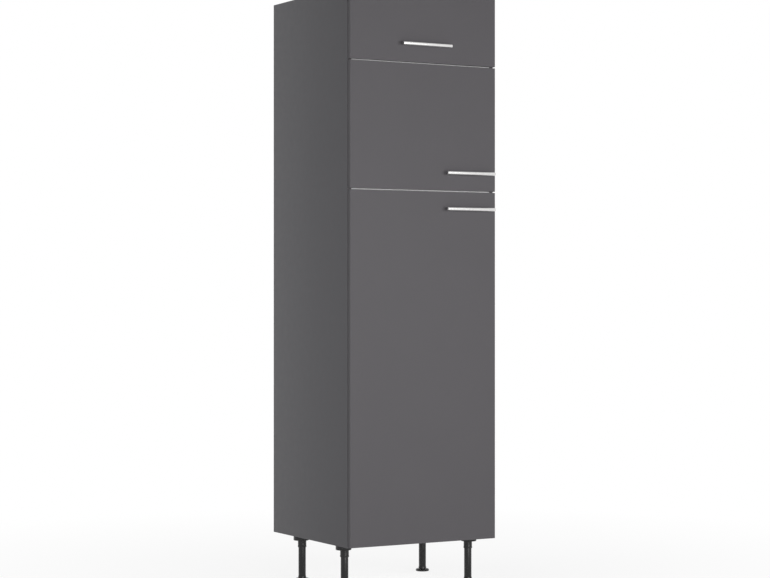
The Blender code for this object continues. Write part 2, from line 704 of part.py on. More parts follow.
def flap_bracket_mesh():
    """A lug on the flap whose stud ends at the socket's side; the origin is the strut's head."""
    plate_back = -STRUT_HEAD_STANDOFF + FIT_GAP
    stud_end = -SOCKET_WIDTH / 2 - FIT_GAP
    lug_high = stud_end - LUG_SHADOW
    lug_low = lug_high - LUG_THICKNESS
    plate_low = (lug_low - BRACKET_HALF_WIDTH, plate_back, -BRACKET_HALF_WIDTH)
    plate_high = (stud_end, plate_back + BRACKET_THICKNESS, BRACKET_HALF_WIDTH)
    lug_corner = (lug_low, plate_back + BRACKET_THICKNESS / 2, -LUG_HALF_WIDTH)
    lug = board_mesh(lug_corner, (lug_high, LUG_HALF_WIDTH, LUG_HALF_WIDTH))
    stud = rod_mesh((lug_high - LUG_THICKNESS / 2, 0, 0), (stud_end, 0, 0), BALL_STUD_RADIUS)
    return carved(board_mesh(plate_low, plate_high), [("UNION", lug), ("UNION", stud)])


def build_strut(carcass, flap_axis, materials):
    """The gas strut that holds the flap up; its swing axis is at its foot."""
    foot = strut_foot()
    head = strut_head()
    length, slope = strut_reach(head)
    foot_spot = (strut_plane(), *foot)
    axis = group_at("strut_axis", foot_spot, carcass)
    axis.rotation_euler = (math.atan2(-math.cos(slope), math.sin(slope)), 0, 0)
    place("strut_cylinder", strut_cylinder_mesh(length), (0, 0, 0), materials["strut_tube"], axis)
    place("strut_rod", strut_rod_mesh(length), (0, 0, 0), materials["handle"], axis)
    place("strut_side_bracket", side_bracket_mesh(), foot_spot, materials["hinge"], carcass)
    head_spot = Vector((strut_plane(), *head)) - Vector(flap_axis.location)
    place("strut_flap_bracket", flap_bracket_mesh(), head_spot, materials["hinge"], flap_axis)


def leg_socket_mesh(outward):
    """The flange under the carcass and the collar that grips the tube; outward is -1 on the left side.

    The flange is set outwards from the collar, so that it reaches under the side panel; the origin is its top."""
    flange = [
        (0, -FIT_GAP),
        (FLANGE_RADIUS, -FIT_GAP),
        (FLANGE_RADIUS, FLANGE_ROUNDING - FLANGE_HEIGHT),
        (FLANGE_RADIUS - FLANGE_ROUNDING, -FLANGE_HEIGHT),
        (0, -FLANGE_HEIGHT),
    ]
    collar = [
        (0, -FLANGE_HEIGHT / 2),
        (COLLAR_RADIUS, -FLANGE_HEIGHT / 2),
        (COLLAR_RADIUS, COLLAR_TAPER_HEIGHT - COLLAR_HEIGHT),
        (COLLAR_RADIUS - COLLAR_TAPER, -COLLAR_HEIGHT),
        (0, -COLLAR_HEIGHT),
    ]
    bore_radius = TUBE_RADIUS + FIT_GAP
    bore_top = SOCKET_BORE_DEPTH - COLLAR_HEIGHT
    bore_mouth = -COLLAR_HEIGHT - CUT_OVERRUN
    bore = [(0, bore_top), (bore_radius, bore_top), (bore_radius, bore_mouth), (0, bore_mouth)]
    blank = moved(turned_mesh(flange), (outward * FLANGE_SHIFT, 0, 0))
    return carved(blank, [("UNION", turned_mesh(collar)), ("DIFFERENCE", turned_mesh(bore))])


def leg_tube_mesh():
    """The tube between collar and foot, with the bore for the foot's thread; its origin is the leg's top."""
    top = SOCKET_BORE_DEPTH - COLLAR_HEIGHT - FIT_GAP
    bottom = FOOT_HEIGHT + FOOT_RING_HEIGHT + FIT_GAP - LEG_HEIGHT
    hollow = TUBE_RADIUS - TUBE_WALL
    hollow_floor = bottom + TUBE_THREAD_DEPTH + TUBE_WEB
    profile = [
        (0, hollow_floor),
        (hollow, hollow_floor),
        (hollow, top),
        (TUBE_RADIUS, top),
        (TUBE_RADIUS, bottom),
        (STEM_RADIUS + FIT_GAP, bottom),
        (STEM_RADIUS + FIT_GAP, bottom + TUBE_THREAD_DEPTH),
        (0, bottom + TUBE_THREAD_DEPTH),
    ]
    return turned_mesh(profile)


def leg_foot_mesh():
    """The round foot with its ring and threaded stem; its origin is on the floor."""
    ring_top = FOOT_HEIGHT + FOOT_RING_HEIGHT
    profile = [
        (0, 0),
        (FOOT_RADIUS - FOOT_BASE_TAPER, 0),
        (FOOT_RADIUS, FOOT_BASE_TAPER),
        (FOOT_RADIUS, FOOT_HEIGHT - FOOT_RIM_TAPER),
        (FOOT_RADIUS - FOOT_RIM_TAPER, FOOT_HEIGHT),
        (FOOT_RING_RADIUS, FOOT_HEIGHT),
        (FOOT_RING_RADIUS, ring_top),
        (STEM_RADIUS, ring_top),
        (STEM_RADIUS, ring_top + STEM_LENGTH),
        (0, ring_top + STEM_LENGTH),
    ]
    return turned_mesh(profile)


def build_legs(carcass, material):
    sockets = {"left": leg_socket_mesh(-1), "right": leg_socket_mesh(1)}
    tube = leg_tube_mesh()
    foot = leg_foot_mesh()
    rows = {"front": FRONT_LEG_SETBACK, "back": BACK_LEG_SETBACK}
    sides = {"left": LEG_FROM_SIDE, "right": CABINET_WIDTH - LEG_FROM_SIDE}
    for row, y in rows.items():
        for side, x in sides.items():
            place(f"leg_socket_{row}_{side}", sockets[side], (x, y, 0), material, carcass)
            place(f"leg_tube_{row}_{side}", tube, (x, y, 0), material, carcass)
            axis = group_at(f"leg_axis_{row}_{side}", (x, y, -LEG_HEIGHT), carcass)
            place(f"leg_foot_{row}_{side}", foot, (0, 0, 0), material, axis)


def build():
    clear_scene()
    materials = {
        "front": finish("anthracite_front", (0.122, 0.117, 0.123), 0.50),
        "side": finish("anthracite_side", (0.100, 0.098, 0.106), 0.50),
        "white": finish("white_board", (0.78, 0.78, 0.76), 0.45),
        "handle": finish("brushed_steel", (0.72, 0.72, 0.72), 0.32, 1.0),
        "hinge": finish("nickel_plate", (0.60, 0.60, 0.59), 0.28, 1.0),
        "plastic": finish("black_plastic", (0.012, 0.012, 0.013), 0.30),
        "pin": finish("shelf_pin_steel", (0.55, 0.55, 0.56), 0.30, 1.0),
        "strut_tube": finish("grey_paint", (0.16, 0.16, 0.17), 0.35),
    }
    carcass = group_at("carcass", (-CABINET_WIDTH / 2, FRONT_PLANE_Y, LEG_HEIGHT))
    build_side_panels(carcass, materials["side"])
    build_level_boards(carcass, materials["white"])
    build_back_panel(carcass, materials["white"])
    build_rear_rail(carcass, materials["white"])
    build_loose_shelf(carcass, materials["white"])
    build_shelf_pins(carcass, materials["pin"])
    hinge_meshes = (hinge_cup_mesh(), hinge_arm_mesh(), hinge_plate_mesh())
    fittings = (hinge_meshes, handle_mesh())

    bottom, top = BOTTOM_REVEAL, LOWER_SEAM - SEAM / 2
    hinges = (bottom + DOOR_HINGE_FROM_END, (bottom + top) / 2, top - DOOR_HINGE_FROM_END)
    handle_height = LOWER_SEAM - HANDLE_FROM_SEAM
    build_door("lower_door", (bottom, top), hinges, handle_height, carcass, fittings, materials)

    bottom, top = LOWER_SEAM + SEAM / 2, UPPER_SEAM - SEAM / 2
    hinges = (bottom + SHORT_HINGE_FROM_END, top - SHORT_HINGE_FROM_END)
    handle_height = LOWER_SEAM + HANDLE_FROM_SEAM
    build_door("middle_door", (bottom, top), hinges, handle_height, carcass, fittings, materials)

    flap_axis = build_flap(carcass, fittings, materials)
    build_strut(carcass, flap_axis, materials)
    build_legs(carcass, materials["plastic"])


build()
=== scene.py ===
# %% [markdown]
# # A tall housing for a built-in fridge
# The CAD frame holds every solid of this kitchen cabinet: boards, fronts, hinges, a gas strut and legs.
# This notebook dresses that frame. Each surface gets its finish, and a solid is replaced where the
# real piece has more shape than the CAD needs, such as a steel handle or a plastic leg.
# The first cell loads the frame, with a helper that measures the box of any one of its solids. The
# dressed model has to stay inside it.

import json
import math

import bmesh
import bpy
import numpy as np
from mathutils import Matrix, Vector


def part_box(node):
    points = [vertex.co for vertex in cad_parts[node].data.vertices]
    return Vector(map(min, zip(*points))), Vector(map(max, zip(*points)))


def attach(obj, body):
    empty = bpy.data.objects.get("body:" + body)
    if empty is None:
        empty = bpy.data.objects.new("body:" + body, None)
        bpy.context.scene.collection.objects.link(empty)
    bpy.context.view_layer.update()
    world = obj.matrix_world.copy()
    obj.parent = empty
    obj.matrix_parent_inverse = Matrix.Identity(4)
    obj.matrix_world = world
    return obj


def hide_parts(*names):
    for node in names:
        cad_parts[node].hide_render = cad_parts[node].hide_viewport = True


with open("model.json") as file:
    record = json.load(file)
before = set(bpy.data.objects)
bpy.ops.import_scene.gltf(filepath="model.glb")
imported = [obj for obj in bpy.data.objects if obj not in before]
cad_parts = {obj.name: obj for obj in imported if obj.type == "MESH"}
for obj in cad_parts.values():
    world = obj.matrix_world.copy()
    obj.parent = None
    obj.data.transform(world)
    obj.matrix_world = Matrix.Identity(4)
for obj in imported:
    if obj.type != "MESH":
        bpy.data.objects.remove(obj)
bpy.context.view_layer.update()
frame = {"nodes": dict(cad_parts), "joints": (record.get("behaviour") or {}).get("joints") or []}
nodes = frame["nodes"]
print("solids in the frame:", len(nodes))

# %% [markdown]
# ## The camera
# The photo was taken with a long lens, level with the middle of the cabinet: upright edges stay
# upright, and the seams run only a few pixels out of level. So the camera isn't tilted at all.
# Its turn, place and lens come from the corners of the fronts in the photo. A long lens from seven and
# a half metres was chosen over a short one close by, because the photo shows so little perspective.

# %% Camera at the photo's viewing angle
CAMERA_PLACE = (-3.7498, -6.5465, 1.067)
CAMERA_TURN_DEGREES = -29.8
LENS_MM = 96.45
SENSOR_MM = 36.0

camera_data = bpy.data.cameras.new("photo_camera")
camera_data.lens = LENS_MM
camera_data.sensor_width = SENSOR_MM
camera = bpy.data.objects.new("photo_camera", camera_data)
camera.location = CAMERA_PLACE
camera.rotation_euler = (math.radians(90), 0, math.radians(CAMERA_TURN_DEGREES))
bpy.context.scene.collection.objects.link(camera)
bpy.context.scene.camera = camera
bpy.context.scene.view_settings.view_transform = "Standard"
print("the camera stands", round(math.hypot(*CAMERA_PLACE[:2]), 2), "m from the cabinet's axis")

# %% [markdown]
# ## The studio
# The cabinet stands on a pale floor in a white room, between softboxes. In the photo the fronts are a
# little brighter than the side, and light reaches through the narrow seams to the white shelves
# behind them. So the front softbox is the strongest, and it is low and wide, level with the seams:
# light from high up would not get through a gap that is four times as deep as it is wide.
# A weak one overhead lights the top.
# The background is white only for the camera and for reflections. The light that falls on the boards
# is weaker than that, so that a finish renders about as dark as it is written.

# %% Sums inside a node tree
def computed(tree, operation, first, second=0.0):
    """One sum of two values. Each is a number or another node's output."""
    node = tree.nodes.new("ShaderNodeMath")
    node.operation = operation
    for socket, value in zip(node.inputs, (first, second)):
        if isinstance(value, bpy.types.NodeSocket):
            tree.links.new(value, socket)
        else:
            socket.default_value = value
    return node.outputs[0]


def spread(tree, value, low, high, to_low=0.0, to_high=1.0):
    """The value, with low to high spread over to_low to to_high and held at both ends."""
    node = tree.nodes.new("ShaderNodeMapRange")
    for socket, number in (("From Min", low), ("From Max", high), ("To Min", to_low), ("To Max", to_high)):
        node.inputs[socket].default_value = number
    tree.links.new(value, node.inputs["Value"])
    return node.outputs["Result"]


def looked_at(tree):
    """1 for a ray that looks, straight, by a mirror or through glass, and 0 for one that lights."""
    rays = tree.nodes.new("ShaderNodeLightPath").outputs
    mirrored = computed(tree, "MAXIMUM", rays["Is Camera Ray"], rays["Is Glossy Ray"])
    return computed(tree, "MAXIMUM", mirrored, rays["Is Transmission Ray"])


print("sums made for node trees: computed, spread and looked_at")

# %% World: white to look at, softer as a lamp
BACKGROUND_LEVEL = 1.0
AMBIENT_LEVEL = 0.10
WHITE = (1, 1, 1, 1)

world = bpy.data.worlds.new("white_studio")
world.use_nodes = True
world_tree = world.node_tree
background = world_tree.nodes["Background"]
background.inputs["Color"].default_value = WHITE
level = spread(world_tree, looked_at(world_tree), 0, 1, AMBIENT_LEVEL, BACKGROUND_LEVEL)
world_tree.links.new(level, background.inputs["Strength"])
bpy.context.scene.world = world
print("ambient light:", AMBIENT_LEVEL, "of the white that the camera sees")

# %% Softboxes round the cabinet
SOFTBOX_DISTANCE = 4.5
# For each: direction in degrees, height of its middle, width, height, watts, and if mirrors show it.
SOFTBOXES = {
    "front_softbox": (0, 1.42, 3.0, 1.0, 104.0, True),
    "low_softbox": (0, 0.45, 3.0, 0.8, 30.0, True),
    "right_softbox": (90, 1.2, 2.0, 2.0, 77.0, False),
    "rear_softbox": (180, 1.2, 2.0, 2.0, 70.0, False),
    "left_softbox": (270, 1.2, 2.0, 2.0, 77.0, False),
}
OVERHEAD_PLACE = (0, 0, 5.0)
OVERHEAD_SIZE = 2.4
OVERHEAD_WATTS = 40.0


def add_softbox(name, width, height, watts, in_gloss, location, rotation):
    """A rectangular lamp that no camera ray sees, and that mirrors show only where in_gloss is true."""
    lamp = bpy.data.lights.new(name, "AREA")
    lamp.shape = "RECTANGLE"
    lamp.size = width
    lamp.size_y = height
    lamp.energy = watts
    softbox = bpy.data.objects.new(name, lamp)
    softbox.location = location
    softbox.rotation_euler = rotation
    softbox.visible_camera = False
    softbox.visible_glossy = in_gloss
    bpy.context.scene.collection.objects.link(softbox)
    print(name, "at", [round(value, 2) for value in softbox.location])


for name, (degrees, middle, *size_and_light) in SOFTBOXES.items():
    turn = math.radians(degrees)
    location = (SOFTBOX_DISTANCE * math.sin(turn), -SOFTBOX_DISTANCE * math.cos(turn), middle)
    add_softbox(name, *size_and_light, location, (math.radians(90), 0, turn))
overhead = (OVERHEAD_SIZE, OVERHEAD_SIZE, OVERHEAD_WATTS, False)
add_softbox("overhead_softbox", *overhead, OVERHEAD_PLACE, (0, 0, 0))

# %% [markdown]
# ## Shapes as functions
# Most pieces here are surfaces of two parameters: one runs along the piece, the other round it.
# A row of closed rings says all of such a surface, so the helpers below make rings and skin them.
# This was chosen over stacking ready-made cubes and cylinders, whose edges would all be knife sharp.
# Below, a surface is a pair: an array of points, and a list of faces that number those points.

# %% Rings and their skin
def grid_faces(rows, columns):
    """Four-cornered faces between neighbouring rings. Ring r has its points at r * columns + c, and
    the face at (r, c) joins c and c + 1 of ring r to the same two of ring r + 1, round and round."""
    r = np.arange(rows - 1)[:, None] * columns
    c = np.arange(columns)[None, :]
    following = (c + 1) % columns
    corners = (r + c, r + following, r + columns + following, r + columns + c)
    return np.stack(corners, axis=-1).reshape(-1, 4)


def skin(rings):
    """The surface of a closed body: the skin over a row of rings, and a flat face at either end."""
    count, around, _ = rings.shape
    faces = grid_faces(count, around).tolist()
    faces.append(list(range(around)))
    faces.append(list(range((count - 1) * around, count * around)))
    return rings.reshape(-1, 3), faces


print("two rings of four points make a body of", len(skin(np.zeros((2, 4, 3)))[1]), "faces")

# %% Turned shapes
def angles_round(sides):
    """As many angles as a ring has sides, evenly round."""
    return np.arange(sides) * (2 * np.pi / sides)


def turned(profile, sides, centre=(0.0, 0.0)):
    """A body turned on an upright axis: a profile point (radius r, height h) goes to
    (r cos t, r sin t, h) for every angle t, round the axis through centre."""
    radius, height = np.asarray(profile, float).T
    angle = angles_round(sides)
    x = centre[0] + radius[:, None] * np.cos(angle)
    y = centre[1] + radius[:, None] * np.sin(angle)
    z = np.repeat(height[:, None], sides, axis=1)
    return skin(np.stack([x, y, z], axis=-1))


print("a disc turned with 12 sides has", len(turned([(1, 0), (1, 1)], 12)[1]), "faces")

# %% [markdown]
# ## Finishes
# Every finish starts as one Principled shader. Its constants sit on the shader's own sockets, and
# noise in the piece's own space then varies the tone a little, roughens the gloss and raises a fine
# grain. A photo texture would be quicker, but noise has no seams and comes at the right scale.

# %% A shader, and noise for it
NOISE_RANGE = (0.3, 0.7)
EVEN = (1, 1, 1)


def shader(name, tone, roughness, metallic=0.0, specular=0.5):
    """A new material: its node tree and its Principled shader, with tone as linear red, green, blue."""
    material = bpy.data.materials.new(name)
    material.use_nodes = True
    principled = material.node_tree.nodes["Principled BSDF"]
    principled.inputs["Base Color"].default_value = (*tone, 1)
    principled.inputs["Roughness"].default_value = roughness
    principled.inputs["Metallic"].default_value = metallic
    principled.inputs["Specular IOR Level"].default_value = specular
    return material, material.node_tree, principled.inputs


def noise_of(tree, scale, detail=3.0, stretch=EVEN):
    """Noise with scale bumps to the metre. A stretch under 1 on an axis makes them longer along it."""
    place = tree.nodes.new("ShaderNodeTexCoord")
    mapping = tree.nodes.new("ShaderNodeMapping")
    noise = tree.nodes.new("ShaderNodeTexNoise")
    mapping.inputs["Scale"].default_value = stretch
    noise.inputs["Scale"].default_value = scale
    noise.inputs["Detail"].default_value = detail
    tree.links.new(place.outputs["Object"], mapping.inputs["Vector"])
    tree.links.new(mapping.outputs["Vector"], noise.inputs["Vector"])
    return noise.outputs["Fac"]


def cloud_of(tree, scale, detail=3.0, stretch=EVEN):
    """Noise whose usual range is spread over 0 to 1."""
    return spread(tree, noise_of(tree, scale, detail, stretch), *NOISE_RANGE)


print("usual range of the noise:", NOISE_RANGE)

# %% Tones between two colours
def blended(tree, share, first, second):
    """A colour between first and second. Each is a colour or another node's output."""
    node = tree.nodes.new("ShaderNodeMix")
    node.data_type = "RGBA"
    tree.links.new(share, node.inputs["Factor"])
    for socket, colour in ((node.inputs["A"], first), (node.inputs["B"], second)):
        if isinstance(colour, bpy.types.NodeSocket):
            tree.links.new(colour, socket)
        else:
            socket.default_value = (*colour, 1)
    return node.outputs["Result"]


def shaded(tree, share, tone, contrast):
    """The tone times a number between the two of contrast."""
    darker, lighter = (tuple(value * times for value in tone) for times in contrast)
    return blended(tree, share, darker, lighter)


print("made for tones: blended and shaded")

# %% [markdown]
# ## The floor
# The pale floor has to melt into the white background without a line, and still take the cabinet's
# shadow. So to the camera and in mirrors it is partly its real lit self and partly plain white, and the
# share of its real self fades away from the cabinet. To rays that only light, it is a plain pale floor.

# %% Floor
FLOOR_RADIUS = 14.0
FLOOR_HEIGHT = -0.0002
FLOOR_TONE = (0.93, 0.93, 0.93)
FLOOR_CONTRAST = (1.0, 0.985)
FLOOR_CLOUD_SCALE = 6
SHADOW_SHARE = 0.16
SHADOW_FULL_WITHIN = 0.5
SHADOW_GONE_BEYOND = 2.6
FLOOR_RINGS = 24
FLOOR_SIDES = 48

floor_material, floor_tree, floor_inputs = shader("pale_floor", FLOOR_TONE, roughness=0.8, specular=0.1)
floor_tone = shaded(floor_tree, cloud_of(floor_tree, FLOOR_CLOUD_SCALE), FLOOR_TONE, FLOOR_CONTRAST)
floor_tree.links.new(floor_tone, floor_inputs["Base Color"])
floor_place = floor_tree.nodes.new("ShaderNodeTexCoord")
from_cabinet = floor_tree.nodes.new("ShaderNodeVectorMath")
from_cabinet.operation = "LENGTH"
floor_tree.links.new(floor_place.outputs["Object"], from_cabinet.inputs[0])
distance = from_cabinet.outputs["Value"]
real_share = spread(floor_tree, distance, SHADOW_FULL_WITHIN, SHADOW_GONE_BEYOND, SHADOW_SHARE, 0)
plain_share = computed(floor_tree, "SUBTRACT", 1.0, real_share)
plain_white = floor_tree.nodes.new("ShaderNodeEmission")
floor_mix = floor_tree.nodes.new("ShaderNodeMixShader")
white_share = computed(floor_tree, "MULTIPLY", looked_at(floor_tree), plain_share)
floor_tree.links.new(white_share, floor_mix.inputs["Fac"])
floor_tree.links.new(floor_tree.nodes["Principled BSDF"].outputs[0], floor_mix.inputs[1])
floor_tree.links.new(plain_white.outputs[0], floor_mix.inputs[2])
floor_tree.links.new(floor_mix.outputs[0], floor_tree.nodes["Material Output"].inputs["Surface"])

floor_radii = np.linspace(FLOOR_RADIUS, FLOOR_RADIUS / FLOOR_RINGS, FLOOR_RINGS)
floor_points, floor_faces = turned([(radius, FLOOR_HEIGHT) for radius in floor_radii], FLOOR_SIDES)
floor_mesh = bpy.data.meshes.new("floor")
floor_mesh.from_pydata(floor_points.tolist(), [], floor_faces[:-2] + floor_faces[-1:])
floor_mesh.materials.append(floor_material)
floor = bpy.data.objects.new("floor", floor_mesh)
bpy.context.scene.collection.objects.link(floor)
print("floor:", 2 * FLOOR_RADIUS, "m across")

# %% [markdown]
# ## Board finishes
# The fronts and the outer faces of the sides are anthracite melamine: a printed paper pressed in
# resin on chipboard, matt, with a grain as fine as dust. Their edges are a thin plastic band of its
# own tone. The white boards' band is whiter than the board, partly as real edging and partly as
# painted light in the shaded seams, and the side panels' band is painted lighter than their face as
# painted light in those seams. Inside, the same kind of board is white. One function makes all of
# these, because only the tones differ. Which face is which comes from the direction of the surface in
# the piece's own space, so nothing slides when a door opens.

# %% What all melamine shares
MELAMINE_ROUGHNESS = (0.485, 0.535)
SPECK_SCALE = 900
SPECK_RANGE = (0.35, 0.65)
RUB_SCALE = 40
GRAIN_SCALE = 1400
GRAIN_DEPTH = 0.00003


def specks_of(tree):
    """The fine print of the paper, as a number from 0 to 1."""
    return spread(tree, noise_of(tree, SPECK_SCALE, detail=2), *SPECK_RANGE)


def grained(tree, inputs, height, depth):
    """Raises a grain on the shader: height from 0 to 1 stands for a bump of depth metres."""
    bump = tree.nodes.new("ShaderNodeBump")
    bump.inputs["Distance"].default_value = depth
    tree.links.new(height, bump.inputs["Height"])
    tree.links.new(bump.outputs["Normal"], inputs["Normal"])


def pressed(tree, inputs, tone):
    """The tone, with the skin that a steel plate presses into resin: matt, a little rubbed, and fine."""
    tree.links.new(tone, inputs["Base Color"])
    rub = spread(tree, noise_of(tree, RUB_SCALE, detail=4), *NOISE_RANGE, *MELAMINE_ROUGHNESS)
    tree.links.new(rub, inputs["Roughness"])
    grained(tree, inputs, noise_of(tree, GRAIN_SCALE, detail=2), GRAIN_DEPTH)


print("printed specks to the metre:", SPECK_SCALE)

# %% Melamine boards
ANTHRACITE = (0.0930, 0.0885, 0.0950)
ANTHRACITE_EDGE = (0.0700, 0.0670, 0.0725)
WHITE_BOARD = (0.780, 0.780, 0.765)
# The white boards' edge band is whiter than the board: partly real edging, partly painted light for the
# shaded seams.
WHITE_EDGE_AND_PAINTED_LIGHT = (0.900, 0.900, 0.900)
MELAMINE_SPECULAR = 0.2
MELAMINE_CONTRAST = (0.97, 1.03)
CLOUD_SCALE = 5
CLOUD_SHARE = 0.4
FACE_RANGE = (0.6, 0.9)


def part_of(tree, output, axis):
    """One axis of the surface's own direction ("Normal") or place ("Object")."""
    place = tree.nodes.new("ShaderNodeTexCoord")
    apart = tree.nodes.new("ShaderNodeSeparateXYZ")
    tree.links.new(place.outputs[output], apart.inputs[0])
    return apart.outputs[axis]


def weighed(tree, first, second, share):
    """The sum of share times the first value and the rest of 1 times the second."""
    first_part = computed(tree, "MULTIPLY", first, share)
    return computed(tree, "ADD", first_part, computed(tree, "MULTIPLY", second, 1 - share))


def melamine(name, tone, edge_tone, face_axis):
    """Melamine board whose wide faces look along face_axis, and whose other faces are edge band."""
    material, tree, inputs = shader(name, tone, MELAMINE_ROUGHNESS[0], specular=MELAMINE_SPECULAR)
    mottle = weighed(tree, cloud_of(tree, CLOUD_SCALE, detail=2), specks_of(tree), CLOUD_SHARE)
    face = shaded(tree, mottle, tone, MELAMINE_CONTRAST)
    along_axis = computed(tree, "ABSOLUTE", part_of(tree, "Normal", face_axis))
    pressed(tree, inputs, blended(tree, spread(tree, along_axis, *FACE_RANGE), edge_tone, face))
    return material


anthracite_front = melamine("anthracite_front", ANTHRACITE, ANTHRACITE_EDGE, "Y")
white_level = melamine("white_level_board", WHITE_BOARD, WHITE_EDGE_AND_PAINTED_LIGHT, "Z")
white_upright = melamine("white_upright_board", WHITE_BOARD, WHITE_EDGE_AND_PAINTED_LIGHT, "Y")
print("anthracite tone:", ANTHRACITE)

# %% [markdown]
# A side panel is anthracite outside and white inside. Two facts tell the faces apart: where the point
# lies along X, and which way its surface looks along X. Their product is positive on an outer face,
# negative on an inner one, and near zero on an edge, on the left panel and on the right one alike.

# %% Side panel finish
SIDE_TONE = (0.0865, 0.0850, 0.0905)
# The side panels' edge band is painted lighter than their outer face: painted light for the shaded seams.
SIDE_BAND_PAINTED_LIGHT = (0.1120, 0.1080, 0.1140)
SIDE_CONTRAST = (0.965, 1.035)
PALE_CONTRAST = (0.99, 1.01)
INNER_CLOUD_SCALE = 4
BAND_TO_OUTER = (0.15, 0.25)
INNER_TO_BAND = (-0.2, -0.1)


def two_sided_melamine(name, outer_tone, band_painted_lighter, inner_tone):
    """Board with a dark outer face and a white inner face, on either side of X = 0, and an edge band
    painted lighter than the outer face, as painted light in the seams.
    """
    material, tree, inputs = shader(name, outer_tone, MELAMINE_ROUGHNESS[0], specular=MELAMINE_SPECULAR)
    outward = computed(tree, "MULTIPLY", part_of(tree, "Normal", "X"), part_of(tree, "Object", "X"))
    outer = shaded(tree, specks_of(tree), outer_tone, SIDE_CONTRAST)
    inner = shaded(tree, cloud_of(tree, INNER_CLOUD_SCALE, detail=2), inner_tone, PALE_CONTRAST)
    band_or_outer = blended(tree, spread(tree, outward, *BAND_TO_OUTER), band_painted_lighter, outer)
    pressed(tree, inputs, blended(tree, spread(tree, outward, *INNER_TO_BAND), inner, band_or_outer))
    return material


anthracite_side = two_sided_melamine("anthracite_side", SIDE_TONE, SIDE_BAND_PAINTED_LIGHT, WHITE_BOARD)
print("side panel tone outside:", SIDE_TONE)

# %% [markdown]
# The thin back panel is fibreboard with a white foil on the face that looks into the cabinet. Its
# rear is left raw: pressed brown fibres, rough and dull. The surface's own direction along Y tells
# them apart. Short fibres are noise stretched along X, since the mat is laid on a moving belt.

# %% Back panel finish
RAW_FIBRE = (0.300, 0.195, 0.115)
RAW_ROUGHNESS = 0.85
RAW_CONTRAST = (0.72, 1.28)
RAW_DEPTH = 0.00012
RAW_RANGE = (-0.7, -0.5)
FIBRE_SCALE = 500
FIBRE_STRETCH = (0.25, 1, 1)
FIBRE_SHARE = 0.7
PATCH_SCALE = 12


def foiled_fibreboard(name, foil_tone, raw_tone):
    """Fibreboard with a smooth pale foil towards -Y and raw fibres on every other face."""
    material, tree, inputs = shader(name, foil_tone, RAW_ROUGHNESS, specular=MELAMINE_SPECULAR)
    is_raw = spread(tree, part_of(tree, "Normal", "Y"), *RAW_RANGE)
    fibres = cloud_of(tree, FIBRE_SCALE, detail=4, stretch=FIBRE_STRETCH)
    patches = cloud_of(tree, PATCH_SCALE)
    raw = shaded(tree, weighed(tree, fibres, patches, FIBRE_SHARE), raw_tone, RAW_CONTRAST)
    foil = shaded(tree, patches, foil_tone, PALE_CONTRAST)
    tree.links.new(blended(tree, is_raw, foil, raw), inputs["Base Color"])
    roughness = spread(tree, is_raw, 0, 1, MELAMINE_ROUGHNESS[1], RAW_ROUGHNESS)
    tree.links.new(roughness, inputs["Roughness"])
    grained(tree, inputs, computed(tree, "MULTIPLY", fibres, is_raw), RAW_DEPTH)
    return material


fibreboard = foiled_fibreboard("foiled_fibreboard", WHITE_BOARD, RAW_FIBRE)
print("back panel: white foil inside, raw fibre behind")

# %% [markdown]
# ## Metal and plastic finishes
# The handles are brushed stainless steel. Brushing leaves scratches along the bar, so the noise is
# squeezed across it: long streaks along X, short ones round it. Hinges are nickel plated and smooth,
# and the strut's tube is powder coated, with a shallow orange peel.
# Legs are black polypropylene with a half gloss, and the fine pebble of a sandblasted mould.
# All vary in the same way, so one function makes them, from their own scales and depths.

# %% Metals, paint and plastics
STEEL = (0.70, 0.695, 0.69)
BRUSH_SQUEEZE = (0.02, 1, 1)
NICKEL = (0.60, 0.585, 0.56)
STRUT_PAINT = (0.16, 0.16, 0.17)
LEG_BLACK = (0.0080, 0.0080, 0.0084)


def varied(name, tone, contrast, roughness, cloud, depth, grain=(), metallic=0.0, specular=0.5):
    """A finish whose tone and gloss follow a slow cloud, with a fine grain raised on it. Cloud and
    grain are noises: scale, detail, stretch. Without a grain, the cloud itself is raised."""
    material, tree, inputs = shader(name, tone, roughness[0], metallic, specular)
    slow = cloud_of(tree, *cloud)
    tree.links.new(shaded(tree, slow, tone, contrast), inputs["Base Color"])
    tree.links.new(spread(tree, slow, 0, 1, *roughness), inputs["Roughness"])
    grained(tree, inputs, noise_of(tree, *grain) if grain else slow, depth)
    return material


def moulded(name, tone, roughness):
    """Moulded plastic: a fine pebble, and a gloss that varies where hands rub it."""
    return varied(
        name, tone, contrast=(0.88, 1.12), roughness=roughness, cloud=(35,), depth=0.00001,
        grain=(1500, 1), specular=0.36,
    )


handle_steel = varied(
    "handle_steel", STEEL, contrast=(0.9, 1.06), roughness=(0.24, 0.36), cloud=(4000, 3, BRUSH_SQUEEZE),
    depth=0.000006, metallic=1.0,
)
plated_steel = varied(
    "plated_steel", NICKEL, contrast=(0.94, 1.04), roughness=(0.16, 0.28), cloud=(60,),
    depth=0.000008, grain=(2500, 2), metallic=1.0,
)
strut_paint = varied(
    "strut_paint", STRUT_PAINT, contrast=(0.96, 1.04), roughness=(0.38, 0.5), cloud=(30,),
    depth=0.00002, grain=(700, 1), specular=0.45,
)
leg_plastic = moulded("leg_plastic", LEG_BLACK, (0.22, 0.30))
print("brush marks are", round(1 / BRUSH_SQUEEZE[0]), "times as long as wide")

# %% [markdown]
# ## Finishes on the CAD's own solids
# Boards, fronts and pins that keep their CAD shape only need a finish, so each node's one material is
# swapped for the finish of its slot. The shapes stay as loaded, which keeps them true to the frame.

# %% Finishes for the CAD nodes
SLOT_FINISHES = {
    "white_board": white_level,
    "anthracite_front": anthracite_front,
    "anthracite_side": anthracite_side,
    "handle_steel": handle_steel,
    "plated_steel": plated_steel,
    "strut_paint": strut_paint,
    "leg_plastic": leg_plastic,
}
for node in nodes.values():
    node.data.materials[0] = SLOT_FINISHES[node.data.materials[0].name]
nodes["rear_rail"].data.materials[0] = white_upright
nodes["back_panel"].data.materials[0] = fibreboard
print("nodes finished:", len(nodes))
